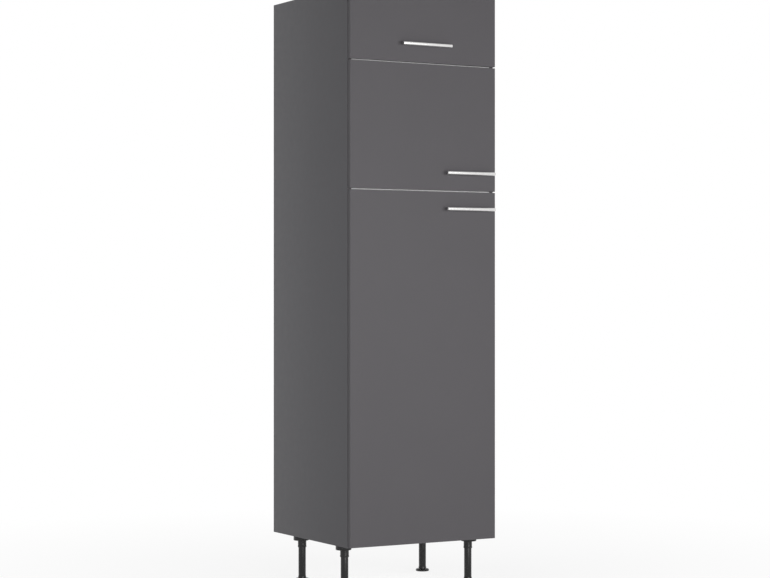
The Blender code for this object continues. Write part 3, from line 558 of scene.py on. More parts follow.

# %% [markdown]
# ## From outlines to pieces
# Steel, plastic and board never have knife-sharp edges, so the corners of an outline become arcs
# before it is turned or stamped. The surface is then moved to its place, made a mesh, and cut or
# joined where forms meet. Its object stays at the origin, because the finishes measure from there.
# To move the object would be simpler, but its pattern would slide.

# %% Outlines with rounded corners
def unit(vectors):
    """Each row divided by its length."""
    return vectors / np.linalg.norm(vectors, axis=-1, keepdims=True)


def rounded(outline, radius, steps=4, is_open=False):
    """An outline whose corners are arcs. At corner p, with unit directions u and v to its neighbours,
    the arc of radius r begins r / tan(half the angle) along u, ends as far along v, and has its
    centre r / sin(half the angle) along their middle. An open outline keeps its two ends."""
    outline = np.asarray(outline, float)
    radius = np.broadcast_to(np.asarray(radius, float), len(outline))
    u = unit(np.roll(outline, 1, axis=0) - outline)
    v = unit(np.roll(outline, -1, axis=0) - outline)
    half = np.arccos(np.clip((u * v).sum(axis=1), -1, 1)) / 2
    centre = outline + unit(u + v) * (radius / np.sin(half))[:, None]
    first = outline + u * (radius / np.tan(half))[:, None] - centre
    last = outline + v * (radius / np.tan(half))[:, None] - centre
    sweep = (np.pi - 2 * half)[:, None]
    share = np.linspace(0, 1, steps + 1)[None, :]
    from_first = np.sin((1 - share) * sweep) / np.sin(sweep)
    from_last = np.sin(share * sweep) / np.sin(sweep)
    arcs = centre[:, None] + from_first[..., None] * first[:, None] + from_last[..., None] * last[:, None]
    if is_open:
        return np.vstack([outline[:1], arcs[1:-1].reshape(-1, 2), outline[-1:]])
    return arcs.reshape(-1, 2)


print("a triangle with round corners has", len(rounded([(0, 0), (1, 0), (0, 1)], 0.1)), "points")

# %% Lathe work
AXIS_RADIUS = 0.0001


def lathe(rows, sides, steps=3, centre=(0.0, 0.0)):
    """A turned body from rows of (radius, height, rounding). Its two ends are flat, so a point next to
    the axis goes before the first row, at its height, and one after the last."""
    radius, height, rounding = np.asarray(rows, float).T
    radius = np.concatenate([[AXIS_RADIUS], radius, [AXIS_RADIUS]])
    height = np.concatenate([height[:1], height, height[-1:]])
    rounding = np.concatenate([[0], rounding, [0]])
    profile = rounded(np.column_stack([radius, height]), rounding, steps, is_open=True)
    return turned(profile, sides, centre)


print("a rod with rounded ends has", len(lathe([(1, 0, 0.1), (1, 2, 0.1)], 12)[1]), "faces")

# %% Putting shapes in their places
TOWARDS_BACK = ((1, 0, 0), (0, 0, -1), (0, 1, 0))


def towards_side(sign=1):
    """The axes of a shape whose own Z points along X, to the right (sign 1) or left (sign -1)."""
    return (0, 1, 0), (0, 0, 1), (sign, 0, 0)


def placed(points, origin, axes):
    """Points moved into a frame of their own: origin + x times its X axis + y times its Y axis + z
    times its Z axis."""
    return np.asarray(origin) + points @ np.array(axes, float)


def set_in(surface, origin, axes):
    """A surface whose points are moved into a frame of their own."""
    return placed(surface[0], origin, axes), surface[1]


def box_of(name):
    """The low corner, the high corner and the middle of a CAD node's box."""
    low, high = np.array(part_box(name))
    return low, high, (low + high) / 2


top_low, top_high, _ = box_of("top_panel")
print("top panel in mm:", (1000 * (top_high - top_low)).round(1).tolist())

# %% Meshes, and cutting one with another
MERGE_DISTANCE = 1e-7


def mesh_of(name, surface):
    """A mesh from a surface, with points that meet made one and all faces turned outwards."""
    points, faces = surface
    mesh = bpy.data.meshes.new(name)
    mesh.from_pydata(points.tolist(), [], faces)
    shell = bmesh.new()
    shell.from_mesh(mesh)
    bmesh.ops.remove_doubles(shell, verts=shell.verts, dist=MERGE_DISTANCE)
    bmesh.ops.recalc_face_normals(shell, faces=shell.faces)
    shell.to_mesh(mesh)
    shell.free()
    return mesh


def combined(mesh, others, operation="DIFFERENCE"):
    """The mesh with the others cut out of it, or joined to it with UNION, by Blender's exact Boolean."""
    target = bpy.data.objects.new("work", mesh)
    bpy.context.scene.collection.objects.link(target)
    helpers = [target]
    for other in others:
        tool = bpy.data.objects.new("tool", other)
        bpy.context.scene.collection.objects.link(tool)
        helpers.append(tool)
        modifier = target.modifiers.new("cut", "BOOLEAN")
        modifier.operation = operation
        modifier.solver = "EXACT"
        modifier.object = tool
    bpy.context.view_layer.update()
    graph = bpy.context.evaluated_depsgraph_get()
    result = bpy.data.meshes.new_from_object(target.evaluated_get(graph))
    result.name = mesh.name
    for helper in helpers:
        bpy.data.objects.remove(helper)
    return result


print("points merge within", MERGE_DISTANCE, "m")

# %% Showing a mesh as a piece
SMOOTH_BELOW = math.radians(32)


def piece(name, mesh, material, body, replaced=()):
    """Shows a mesh as a named piece that rides on a body and stands for the CAD nodes it replaces.
    It is shaded smooth, except where faces meet at a sharper angle than SMOOTH_BELOW."""
    mesh.shade_smooth()
    mesh.set_sharp_from_angle(angle=SMOOTH_BELOW)
    mesh.materials.clear()
    mesh.materials.append(material)
    shown = bpy.data.objects.new(name, mesh)
    bpy.context.scene.collection.objects.link(shown)
    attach(shown, body)
    if replaced:
        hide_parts(*replaced)


print("smooth shading below", round(math.degrees(SMOOTH_BELOW)), "degrees")

# %% [markdown]
# ## Handles
# Each front has one straight bar handle: a round bar on two posts, 128 mm apart. The bar's ends are
# turned with a small round, and each post is cut to a saddle that fits the bar. Lathe shapes joined
# by a Boolean give exactly that saddle. A curve with a bevel would leave the post's end inside the bar.

# %% Handles, sized from the frame
HANDLE_SIDES = 64
POST_SIDES = 48
HALF_POST_SPACING = 0.064
POST_RADIUS = 0.005
BAR_ROUNDING = 0.0009
BAR_ROUNDING_STEPS = 5
POST_FOOT_ROUNDING = 0.0004

FRONT_NAMES = ("lower_door", "middle_door", "flap")


def handle_mesh(name):
    """A bar turned about X with rounded ends, joined to two posts that run back along Y."""
    low, high, middle = box_of(name)
    radius = (high[2] - low[2]) / 2
    half = (high[0] - low[0]) / 2
    middle[1] = low[1] + radius
    bar_rows = [(radius, end, BAR_ROUNDING) for end in (-half, half)]
    bar = lathe(bar_rows, HANDLE_SIDES, BAR_ROUNDING_STEPS)
    post_rows = [(POST_RADIUS, end, POST_FOOT_ROUNDING) for end in (high[1] - middle[1], 0)]
    post = lathe(post_rows, POST_SIDES)
    places = [middle + (side * HALF_POST_SPACING, 0, 0) for side in (-1, 1)]
    posts = [mesh_of("post", set_in(post, place, TOWARDS_BACK)) for place in places]
    return combined(mesh_of(name, set_in(bar, middle, towards_side())), posts, "UNION")


for front in FRONT_NAMES:
    name = front + "_handle"
    mesh = handle_mesh(name)
    piece(name + "_bar", mesh, handle_steel, front, [name])
    print(name, "faces:", len(mesh.polygons))

# %% [markdown]
# ## Side panels
# A side panel is one board, 16 mm thick, as deep as the carcass. Its arrises are softened by the edge
# band, a groove near the back holds the back panel, and two rows of 5 mm holes at 32 mm steps take
# the shelf pins. The rounded block is one surface; the groove and all holes are cut by one Boolean.

# %% Blocks with rounded edges
def oblong(x0, y0, x1, y1):
    """The outline of a rectangle, from its low corner round."""
    return [(x0, y0), (x1, y0), (x1, y1), (x0, y1)]


def rolled_edge(low, high, rounding, steps):
    """Insets and heights of a plate's rings, so that its rims are rounded over by r. Near each face the
    inset is r (1 - sin a), at r (1 - cos a) from the face, for a from 0 to a quarter turn."""
    turn = np.linspace(0, np.pi / 2, steps + 1)
    inset = rounding * (1 - np.sin(turn))
    rise = rounding * (1 - np.cos(turn))
    return np.concatenate([inset, inset[::-1]]), np.concatenate([low + rise, high - rise[::-1]])


def slab(low, high, rounding, steps=3):
    """A block with rounded edges: a rectangle with round corners in every ring, each of them as much
    smaller as the ring is drawn in."""
    (x0, y0, z0), (x1, y1, z1) = low, high
    rings = []
    for inset, height in zip(*rolled_edge(z0, z1, rounding, steps)):
        flat = rounded(oblong(x0 + inset, y0 + inset, x1 - inset, y1 - inset), rounding - inset, steps)
        rings.append(np.column_stack([flat, np.full(len(flat), height)]))
    return skin(np.stack(rings))


def joined(surfaces):
    """Several surfaces as one: the face numbers of each go up by the points before it."""
    all_faces = []
    start = 0
    for points, faces in surfaces:
        all_faces += [[index + start for index in face] for face in faces]
        start += len(points)
    return np.concatenate([points for points, _ in surfaces]), all_faces


print("a rounded block has", len(slab((0, 0, 0), (1, 1, 1), 0.1)[1]), "faces")

# %% Side panels
SIDE_ARRIS = 0.0007
GROOVE_PLAY = 0.0003
GROOVE_DEPTH = 0.008
GROOVE_ROUNDING = 0.0001
HOLE_RADIUS = 0.0026
HOLE_DEPTH = 0.0093
HOLE_PITCH = 0.032
HOLES_EACH_WAY = 5
HOLE_SIDES = 20
CUTTER_OVERRUN = 0.002


def hole_cutters(inner_x, sign, pins):
    """Short rods across the inner face, one for each hole of the two rows that pass by the pins."""
    rod = turned([(HOLE_RADIUS, 0), (HOLE_RADIUS, HOLE_DEPTH + CUTTER_OVERRUN)], HOLE_SIDES)
    rods = []
    for _, y, z in (box_of(pin)[2] for pin in pins):
        for step in range(-HOLES_EACH_WAY, HOLES_EACH_WAY + 1):
            start = (inner_x - sign * CUTTER_OVERRUN, y, z + step * HOLE_PITCH)
            rods.append(set_in(rod, start, towards_side(sign)))
    return rods


def side_panel_mesh(name, side, sign):
    """The panel on the left (sign -1) or right (sign 1): a rounded block less its groove and holes."""
    low, high, _ = box_of(name)
    inner_x = high[0] if sign < 0 else low[0]
    back_low, back_high, _ = box_of("back_panel")
    groove_x = sorted((inner_x - sign * CUTTER_OVERRUN, inner_x + sign * GROOVE_DEPTH))
    groove_low = (groove_x[0], back_low[1] - GROOVE_PLAY, low[2] - CUTTER_OVERRUN)
    groove_high = (groove_x[1], back_high[1] + GROOVE_PLAY, high[2] + CUTTER_OVERRUN)
    cutters = hole_cutters(inner_x, sign, [f"shelf_pin_{row}_{side}" for row in ("front", "back")])
    cutters.append(slab(groove_low, groove_high, GROOVE_ROUNDING, steps=1))
    return combined(mesh_of(name, slab(low, high, SIDE_ARRIS)), [mesh_of("cutters", joined(cutters))])


for side, sign in (("left", -1), ("right", 1)):
    name = f"side_panel_{side}"
    mesh = side_panel_mesh(name, side, sign)
    piece(name + "_board", mesh, anthracite_side, "carcass", [name])
    print(name, "faces:", len(mesh.polygons))

# %% [markdown]
# ## Legs
# A kitchen leg comes in three mouldings. The socket screws under the carcass: a thick disc, set a
# little outwards, above a collar. The tube pushes into the collar. The foot screws into the tube, and
# its disc has a raised ring. All are turned shapes, so each is one profile carried round an axis.

# %% Leg sockets
LEG_SIDES = 72
SOCKET_FLANGE_HEIGHT = 0.0175
SOCKET_COLLAR_RADIUS = 0.016
FLANGE_ROUNDING = 0.0016
COLLAR_ROUNDING = 0.0008
COLLAR_LIP = 0.0006
COLLAR_LIP_HEIGHT = 0.005
COLLAR_LIP_ROUNDING = 0.0003


def leg_socket_mesh(name, tube_name):
    """The flange, a disc round its own axis, joined to the collar, which is round the tube's axis."""
    low, high, middle = box_of(name)
    radius = (high[0] - low[0]) / 2
    under = high[2] - SOCKET_FLANGE_HEIGHT
    edge = [(radius, under, FLANGE_ROUNDING), (radius, high[2], FLANGE_ROUNDING / 2)]
    flange = lathe(edge, LEG_SIDES, steps=4, centre=middle[:2])
    lip_top = low[2] + COLLAR_LIP_HEIGHT
    neck = SOCKET_COLLAR_RADIUS - COLLAR_LIP
    collar = [
        (SOCKET_COLLAR_RADIUS, low[2], COLLAR_ROUNDING),
        (SOCKET_COLLAR_RADIUS, lip_top, COLLAR_LIP_ROUNDING),
        (neck, lip_top + COLLAR_LIP, COLLAR_LIP_ROUNDING),
        (neck, under + CUTTER_OVERRUN, 0),
    ]
    shaft = lathe(collar, LEG_SIDES, centre=box_of(tube_name)[2][:2])
    return combined(mesh_of(name, flange), [mesh_of("collar", shaft)], "UNION")


print("a socket's collar is", round(2000 * SOCKET_COLLAR_RADIUS), "mm across")

# %% Leg tubes
TUBE_RADIUS = 0.0135
TUBE_ROUNDING = 0.0006
TUBE_RECESS_RADIUS = 0.0112
TUBE_RECESS_DEPTH = 0.004
TUBE_BORE_RADIUS = 0.0068
TUBE_BORE_DEPTH = 0.046
BORE_ROUNDING = 0.0004


def leg_tube_mesh(name):
    """A tube, turned from a profile that ends below in a recess and a bore for the foot's stem."""
    low, high, middle = box_of(name)
    end = low[2]
    profile = [
        (TUBE_BORE_RADIUS, end + TUBE_BORE_DEPTH, BORE_ROUNDING),
        (TUBE_BORE_RADIUS, end + TUBE_RECESS_DEPTH, BORE_ROUNDING),
        (TUBE_RECESS_RADIUS, end + TUBE_RECESS_DEPTH, BORE_ROUNDING),
        (TUBE_RECESS_RADIUS, end, BORE_ROUNDING),
        (TUBE_RADIUS, end, TUBE_ROUNDING),
        (TUBE_RADIUS, high[2], TUBE_ROUNDING),
    ]
    return mesh_of(name, lathe(profile, LEG_SIDES, centre=middle[:2]))


print("a leg's tube is", round(2000 * TUBE_RADIUS), "mm across")

# %% Feet
# Rows of radius, height over the floor, and rounding: the disc, its two steps, the ring, its hollow.
FOOT_PROFILE = (
    (0.0235, 0.0, 0.0006), (0.025, 0.0015, 0.0006), (0.025, 0.006, 0.0012), (0.022, 0.0088, 0.0012),
    (0.0165, 0.010, 0.0006), (0.0145, 0.010, 0.0004), (0.0145, 0.0165, 0.0003), (0.0138, 0.0165, 0.0002),
    (0.0138, 0.0125, 0.0006),
)
STEM_BOTTOM = 0.0115
STEM_RADIUS = 0.006
THREAD_PITCH = 0.003
THREAD_DEPTH = 0.0007
THREAD_STEPS = 12
STEM_TAPER = 0.25


def eased(value):
    """The smooth step 3 t^2 - 2 t^3, with t held between 0 and 1."""
    t = np.clip(value, 0, 1)
    return t * t * (3 - 2 * t)


def threaded_stem(bottom, top, centre):
    """A screw thread: at height h and angle t the radius is the stem's, less the thread's depth times
    a rounded wave of h / pitch - t / (2 pi), and the stem's tip is tapered."""
    count = int(round((top - bottom) / THREAD_PITCH * THREAD_STEPS))
    height = np.linspace(bottom, top, count)[:, None]
    angle = angles_round(LEG_SIDES)
    wave = 0.5 - 0.5 * np.cos(2 * np.pi * height / THREAD_PITCH - angle)
    taper = 1 - STEM_TAPER * eased((height - top + THREAD_PITCH) / THREAD_PITCH)
    radius = (STEM_RADIUS - THREAD_DEPTH * wave) * taper
    x = centre[0] + radius * np.cos(angle)
    y = centre[1] + radius * np.sin(angle)
    return skin(np.stack([x, y, np.broadcast_to(height, x.shape)], axis=-1))


def leg_foot_mesh(name):
    """A disc that rises in two soft steps to a hollow ring, joined to the stem that screws in."""
    low, high, middle = box_of(name)
    disc = lathe(np.array(FOOT_PROFILE) + (0, low[2], 0), LEG_SIDES, centre=middle[:2])
    stem = threaded_stem(low[2] + STEM_BOTTOM, high[2], middle[:2])
    return combined(mesh_of(name, disc), [mesh_of("stem", stem)], "UNION")


print("a foot's thread rises", round(1000 * THREAD_PITCH), "mm in a turn")

# %% All four legs
for corner in ("front_left", "front_right", "back_left", "back_right"):
    socket, tube, foot = (f"leg_{part}_{corner}" for part in ("socket", "tube", "foot"))
    piece(socket + "_cup", leg_socket_mesh(socket, tube), leg_plastic, "carcass", [socket])
    piece(tube + "_shaft", leg_tube_mesh(tube), leg_plastic, "carcass", [tube])
    piece(foot + "_pad", leg_foot_mesh(foot), leg_plastic, foot, [foot])
    print("leg", corner, "made of three mouldings")

# %% [markdown]
# ## Screws
# Screws show wherever something is fastened: on hinge wings, on brackets and behind the handles.
# A head is a height field round a point: a shallow dome with a cross sunk into it. A Boolean could
# cut the cross too, but not with the soft rim that a pressed cross has.

# %% Screw heads
SCREW_SIDES = 40
SCREW_RINGS = 10
SCREW_CENTRE_SHARE = 0.05
SCREW_SKIRT = 0.0004
CROSS_LENGTH_SHARE = 0.62
CROSS_WIDTH_SHARE = 0.15
CROSS_BLUR_SHARE = 0.07
CROSS_DEPTH_SHARE = 0.8

fixing_screws = {body: [] for body in ("carcass", *FRONT_NAMES)}


def cross_arm(along, across, radius):
    """1 inside one arm of the cross and 0 outside, by how far a point is inside its length and width."""
    blur = CROSS_BLUR_SHARE * radius
    in_length = eased((CROSS_LENGTH_SHARE * radius - abs(along)) / blur)
    return in_length * eased((CROSS_WIDTH_SHARE * radius - abs(across)) / blur)


def screw_head(radius, height):
    """A head whose height at distance d is height (1 - 0.5 (d / radius)^2), less the cross's depth."""
    angle = angles_round(SCREW_SIDES)
    share = np.linspace(1, SCREW_CENTRE_SHARE, SCREW_RINGS)[:, None]
    x = radius * share * np.cos(angle)
    y = radius * share * np.sin(angle)
    cross = np.maximum(cross_arm(x, y, radius), cross_arm(y, x, radius))
    dome = height * (1 - 0.5 * share ** 2 * np.ones_like(x))
    top = np.stack([x, y, dome - CROSS_DEPTH_SHARE * height * cross], axis=-1)
    skirt = np.array(top[:1])
    skirt[..., 2] = -SCREW_SKIRT
    return skin(np.concatenate([skirt, top]))


def add_screw(body, place, axes, size):
    """Notes a screw head of a radius and height for a body. It is domed along the last of its axes."""
    fixing_screws[body].append(set_in(screw_head(*size), place, axes))


print("faces of a screw head:", len(screw_head(1, 1)[1]))

# %% [markdown]
# ## Concealed hinges
# Each front turns on cup hinges. The cup is pressed steel, let into the front, with two screwed wings.
# The arm starts at a pin in the cup, hooks round the panel's edge and ends in a folded channel, which
# sits on a cast plate on the board. All are made once, round their own pin: X runs inwards from the
# outer side, Y to the back, and Z along the pin. Then they are placed at all seven hinges.
# The cup is a turned bowl with stamped parts joined on. Its pin and cheeks are joined only after the
# slot for the arm is cut, so that the slot does not cut them too.

# %% Stamped plates
def plate(outline, low, high, rounding, steps=3):
    """A flat plate of any outline between two heights. A ring's points are drawn in across the
    direction from the point before to the point after."""
    outline = np.asarray(outline, float)
    ahead = np.roll(outline, -1, axis=0) - np.roll(outline, 1, axis=0)
    outward = unit(np.column_stack([ahead[:, 1], -ahead[:, 0]]))
    area = (outline[:, 0] * np.roll(outline[:, 1], -1) - outline[:, 1] * np.roll(outline[:, 0], -1)).sum()
    inset, height = rolled_edge(low, high, rounding, steps)
    flat = outline[None] - inset[:, None, None] * outward[None] * np.sign(area)
    tall = np.broadcast_to(height[:, None, None], (*flat.shape[:2], 1))
    return skin(np.concatenate([flat, tall], axis=-1))


print("a plate with rolled rims has", len(plate(oblong(0, 0, 1, 1), 0, 1, 0.1)[1]), "faces")

# %% Hinge cup
FLAT_BEHIND = ((1, 0, 0), (0, 0, 1), (0, 1, 0))
CUP_X = 0.0146
CUP_FACE_Y = 0.0095
CUP_DEPTH = 0.0130
CUP_SIDES = 56
RIM_TOP = 0.0013
# Rows of radius, height over the front's back face, and rounding: outside, rim, inside.
CUP_PROFILE = (
    (0.0174, -CUP_DEPTH, 0.0016), (0.0174, 0.0003, 0.0001), (0.0186, 0.0003, 0.0002),
    (0.0186, RIM_TOP, 0.0004), (0.0162, RIM_TOP, 0.0005), (0.0162, 0.0009 - CUP_DEPTH, 0.0012),
)
WING_X = 0.0166
WING_HALF_WIDTH = 0.007
WING_START = 0.0163
WING_END = 0.028
WING_RADII = (0.0003, 0.0003, 0.0055, 0.0055)
WING_LEVELS = (CUP_FACE_Y + 0.0003, CUP_FACE_Y + RIM_TOP - 0.0001)
WING_ROUNDING = 0.0003
WIDE_ARC_STEPS = 8
CHEEK_OUTLINE = oblong(-0.0016, -0.0031, 0.0024, 0.0022)
CHEEK_RADII = (0.0003, 0.0003, 0.0019, 0.0019)
CHEEK_START = 0.0046
CHEEK_END = 0.0066
CHEEK_ROUNDING = 0.0002
CHEEK_STEPS = 5
HINGE_PIN = ((0.0012, -0.0071, 0.0003), (0.0012, 0.0071, 0.0003))
HINGE_PIN_SIDES = 20
HINGE_PIN_STEPS = 2
CUP_SLOT = ((-0.0045, -0.0029, -0.00445), (0.0001, 0.012, 0.00445), 0.0002)
CUP_TRIM = ((-0.0060, CUP_FACE_Y + 0.0001, -0.02), (-0.0028, 0.012, 0.02), 0.0001)


def hinge_cup():
    """The bowl, turned; its wings, joined on; the slot for the arm, cut out; then cheeks and pin."""
    bowl = set_in(lathe(CUP_PROFILE, CUP_SIDES), (CUP_X, CUP_FACE_Y, 0), TOWARDS_BACK)
    wings = []
    knuckles = []
    for side in (-1, 1):
        edges = (WING_X - WING_HALF_WIDTH, side * WING_START, WING_X + WING_HALF_WIDTH, side * WING_END)
        wing = plate(rounded(oblong(*edges), WING_RADII, WIDE_ARC_STEPS), *WING_LEVELS, WING_ROUNDING)
        wings.append(mesh_of("wing", set_in(wing, (0, 0, 0), FLAT_BEHIND)))
        span = sorted((side * CHEEK_START, side * CHEEK_END))
        cheek = plate(rounded(CHEEK_OUTLINE, CHEEK_RADII, CHEEK_STEPS), *span, CHEEK_ROUNDING)
        knuckles.append(mesh_of("cheek", cheek))
    knuckles.append(mesh_of("pin", lathe(HINGE_PIN, HINGE_PIN_SIDES, HINGE_PIN_STEPS)))
    pressing = combined(mesh_of("hinge_cup", bowl), wings, "UNION")
    slot_and_trim = [mesh_of("slot", slab(*CUP_SLOT)), mesh_of("trim", slab(*CUP_TRIM))]
    return combined(combined(pressing, slot_and_trim), knuckles, "UNION")


cup_template = hinge_cup()
print("hinge cup faces:", len(cup_template.polygons))

# %% [markdown]
# The arm is bent from one strip and one folded sheet. The channel is a row of U-shaped rings that
# shrink towards both ends, and the neck is a flat ring carried along a bent path. A ring along a path
# gives the even wall of folded sheet, which a scaled block would not.

# %% The arm's folded channel
ARM_UNDERSIDE = 0.0132
ARM_TOP = 0.0216
ARM_START = 0.0195
ARM_END = 0.0735
ARM_HALF_WIDTH = 0.008
ARM_WALL = 0.0013
ARM_CORNER_RADII = (0.0003, 0.0020, 0.0020, 0.0003, 0.0003, 0.0010, 0.0010, 0.0003)
# Rows of place along the channel, and the shares of its full width and height there.
CHANNEL_SHAPE = (
    (0.0, 0.70, 0.62), (0.05, 0.76, 0.78), (0.20, 1.0, 1.0), (0.90, 1.0, 1.0), (0.97, 0.94, 0.9),
    (1.0, 0.82, 0.72),
)


def channel_section(y, width_share, height_share):
    """One ring of the folded channel: a U, open towards the plate, with round outer corners."""
    half = ARM_HALF_WIDTH * width_share
    top = ARM_UNDERSIDE + (ARM_TOP - ARM_UNDERSIDE) * height_share
    inner = half - ARM_WALL
    ceiling = top - ARM_WALL
    corners = [(ARM_UNDERSIDE, -half), (top, -half), (top, half), (ARM_UNDERSIDE, half)]
    corners += [(ARM_UNDERSIDE, inner), (ceiling, inner), (ceiling, -inner), (ARM_UNDERSIDE, -inner)]
    flat = rounded(corners, ARM_CORNER_RADII)
    return np.column_stack([flat[:, 0], np.full(len(flat), y), flat[:, 1]])


print("the channel is", round(1000 * (ARM_END - ARM_START)), "mm long")

# %% Hinge arm
NECK_HALF_WIDTH = 0.0041
NECK_HALF_THICKNESS = 0.0012
NECK_ROUNDING = 0.0004
NECK_X = 0.0148
NECK_BEND = 0.0032
NECK_PATH = ((0.0, 0.0), (NECK_X, 0.0), (NECK_X, ARM_START + 0.004))
HINGE_EYE = ((0.0022, -0.0043, 0.0003), (0.0022, 0.0043, 0.0003))
HINGE_EYE_SIDES = 28
HINGE_BORE = ((0.0015, -0.006), (0.0015, 0.006))
HINGE_BORE_SIDES = 24
ARM_WEB = (
    (NECK_X - 0.0012, ARM_START + 0.0002, -0.0045), (NECK_X + 0.0034, ARM_START + 0.0022, 0.0045), 0.0003,
)


def ribbon(path, half_width, half_thickness, rounding):
    """A flat strip bent along a path in the XY plane: at each path point the ring is a rounded
    rectangle, half_thickness to each side of the path and half_width up and down."""
    along = unit(np.gradient(path, axis=0))
    across = np.column_stack([-along[:, 1], along[:, 0]])
    section = rounded(oblong(-half_thickness, -half_width, half_thickness, half_width), rounding, steps=3)
    flat = path[:, None] + across[:, None] * section[None, :, :1]
    tall = np.broadcast_to(section[None, :, 1:], (*flat.shape[:2], 1))
    return skin(np.concatenate([flat, tall], axis=-1))


def hinge_arm():
    """An eye round the pin, a strip bent once on its way out of the cup, and a folded channel."""
    length = ARM_END - ARM_START
    rings = [channel_section(ARM_START + share * length, *shape) for share, *shape in CHANNEL_SHAPE]
    path = rounded(NECK_PATH, NECK_BEND, WIDE_ARC_STEPS, is_open=True)
    neck = mesh_of("neck", ribbon(path, NECK_HALF_WIDTH, NECK_HALF_THICKNESS, NECK_ROUNDING))
    web = mesh_of("web", slab(*ARM_WEB))
    eye = mesh_of("eye", lathe(HINGE_EYE, HINGE_EYE_SIDES, HINGE_PIN_STEPS))
    solid = combined(mesh_of("hinge_arm", skin(np.stack(rings))), [neck, web, eye], "UNION")
    return combined(solid, [mesh_of("bore", turned(HINGE_BORE, HINGE_BORE_SIDES))])


arm_template = hinge_arm()
print("hinge arm faces:", len(arm_template.polygons))

# %% [markdown]
# The mounting plate is a zinc casting in the shape of a cross, screwed to the board by its two long
# tips. One outline with round corners gives the cross, and a block joined to it the ridge.

# %% Mounting plate
PLATE_FACE = 0.0089
PLATE_WING_TOP = 0.0114
PLATE_TOP = 0.0129
PLATE_MIDDLE_Y = 0.0485
PLATE_QUARTER = ((0.022, 0.0065), (0.0065, 0.0065), (0.0065, 0.028))
PLATE_RADII = (0.0030, 0.0015, 0.0045, 0.0045, 0.0015, 0.0030) * 2
PLATE_ROUNDING = 0.0006
PLATE_CORNER_STEPS = 6
PLATE_RIDGE = (
    (PLATE_WING_TOP - 0.0008, PLATE_MIDDLE_Y - 0.021, -0.0055), (PLATE_TOP, PLATE_MIDDLE_Y + 0.021, 0.0055),
    PLATE_ROUNDING,
)


def mounting_plate():
    """A cross-shaped casting with round tips, and the ridge along it that carries the arm."""
    cross = list(PLATE_QUARTER) + [(-along, up) for along, up in reversed(PLATE_QUARTER)]
    cross += [(-along, -up) for along, up in cross]
    outline = rounded(cross, PLATE_RADII, PLATE_CORNER_STEPS)
    base = plate(outline, PLATE_FACE, PLATE_WING_TOP, PLATE_ROUNDING)
    base = mesh_of("mounting_plate", set_in(base, (0, PLATE_MIDDLE_Y, 0), towards_side()))
    return combined(base, [mesh_of("ridge", slab(*PLATE_RIDGE))], "UNION")


plate_template = mounting_plate()
print("mounting plate faces:", len(plate_template.polygons))

# %% [markdown]
# Seven hinges now take their places. A door's hinge stands upright, and the flap's lies down, so the
# same meshes are placed with two sets of axes. Each cup also holds a soft-close damper, a grey block.

# %% Copies of a hinge, and its screws
CUP_SCREW_Z = 0.0228
PLATE_SCREW_Z = 0.0205
ARM_SCREWS_Y = (0.034, 0.060)
# Radius and height of a screw's head.
WING_SCREW = (0.0034, 0.0006)
TIP_SCREW = (0.0038, 0.0009)
ARM_SCREW = (0.0032, 0.0004)


def placed_copy(template, name, origin, axes):
    """A copy of a mesh whose points are moved into another frame."""
    mesh = template.copy()
    mesh.name = name
    points = np.empty(len(mesh.vertices) * 3, np.float32)
    mesh.vertices.foreach_get("co", points)
    mesh.vertices.foreach_set("co", placed(points.reshape(-1, 3), origin, axes).astype(np.float32).ravel())
    mesh.update()
    return mesh


def add_hinge_screws(front, origin, inwards, backwards, along):
    """Two screws on the cup's wings and two on the plate's tips, and two along the arm."""
    on_board = (backwards, along, inwards)
    wing = origin + WING_X * inwards + WING_LEVELS[1] * backwards
    tip = origin + PLATE_WING_TOP * inwards + PLATE_MIDDLE_Y * backwards
    for side in (-1, 1):
        add_screw(front, wing + side * CUP_SCREW_Z * along, (inwards, -along, backwards), WING_SCREW)
        add_screw("carcass", tip + side * PLATE_SCREW_Z * along, on_board, TIP_SCREW)
    for setback in ARM_SCREWS_Y:
        add_screw("carcass", origin + ARM_TOP * inwards + setback * backwards, on_board, ARM_SCREW)


print("screws along each arm:", len(ARM_SCREWS_Y))

# %% All seven hinges
DOOR_AXES = ((1, 0, 0), (0, 1, 0), (0, 0, 1))
FLAP_AXES = ((0, 0, -1), (0, 1, 0), (1, 0, 0))
DAMPER_GREY = (0.30, 0.31, 0.32)
DAMPER_BLOCK = ((0.0180, -0.0025, -0.0080), (0.0278, 0.0088, 0.0080), 0.0012)
HINGE_TEMPLATES = {"cup": cup_template, "arm": arm_template, "plate": plate_template}

damper_plastic = moulded("damper_plastic", DAMPER_GREY, (0.4, 0.5))
joint_places = {joint["name"]: joint["pos_m"] for joint in frame["joints"] if "pos_m" in joint}

for front in FRONT_NAMES:
    axes = np.array(FLAP_AXES if front == "flap" else DOOR_AXES, float)
    along_pin = 0 if front == "flap" else 2
    dampers = []
    for cup in sorted(name for name in nodes if name.startswith(front + "_hinge_cup_")):
        origin = np.array(joint_places[front + "_hinge"])
        origin[along_pin] = box_of(cup)[2][along_pin]
        for kind, template in HINGE_TEMPLATES.items():
            node = cup.replace("_cup_", f"_{kind}_")
            mesh = placed_copy(template, node, origin, axes)
            body = front if kind == "cup" else "carcass"
            piece(node + "_metal", mesh, plated_steel, body, [node])
        add_hinge_screws(front, origin, *axes)
        dampers.append(set_in(slab(*DAMPER_BLOCK), origin, axes))
    piece(front + "_hinge_dampers", mesh_of("dampers", joined(dampers)), damper_plastic, front)
    print(front, "hinges:", len(dampers))

# %% [markdown]
# ## Gas strut
# The flap is heavy, so a gas strut holds it up. A painted tube holds a plated rod, and each ends in
# an eye on a stud. One stud stands on a bracket screwed to the side, the other on one screwed to the
# flap. Tube, rod, eyes and studs are turned shapes, and a Boolean joins each eye to its shaft, which
# is simpler than bending one surface round the corner between them.

# %% Strut tube and rod
STRUT_SIDES = 40
EYE_RADIUS = 0.0065
EYE_HALF = 0.005
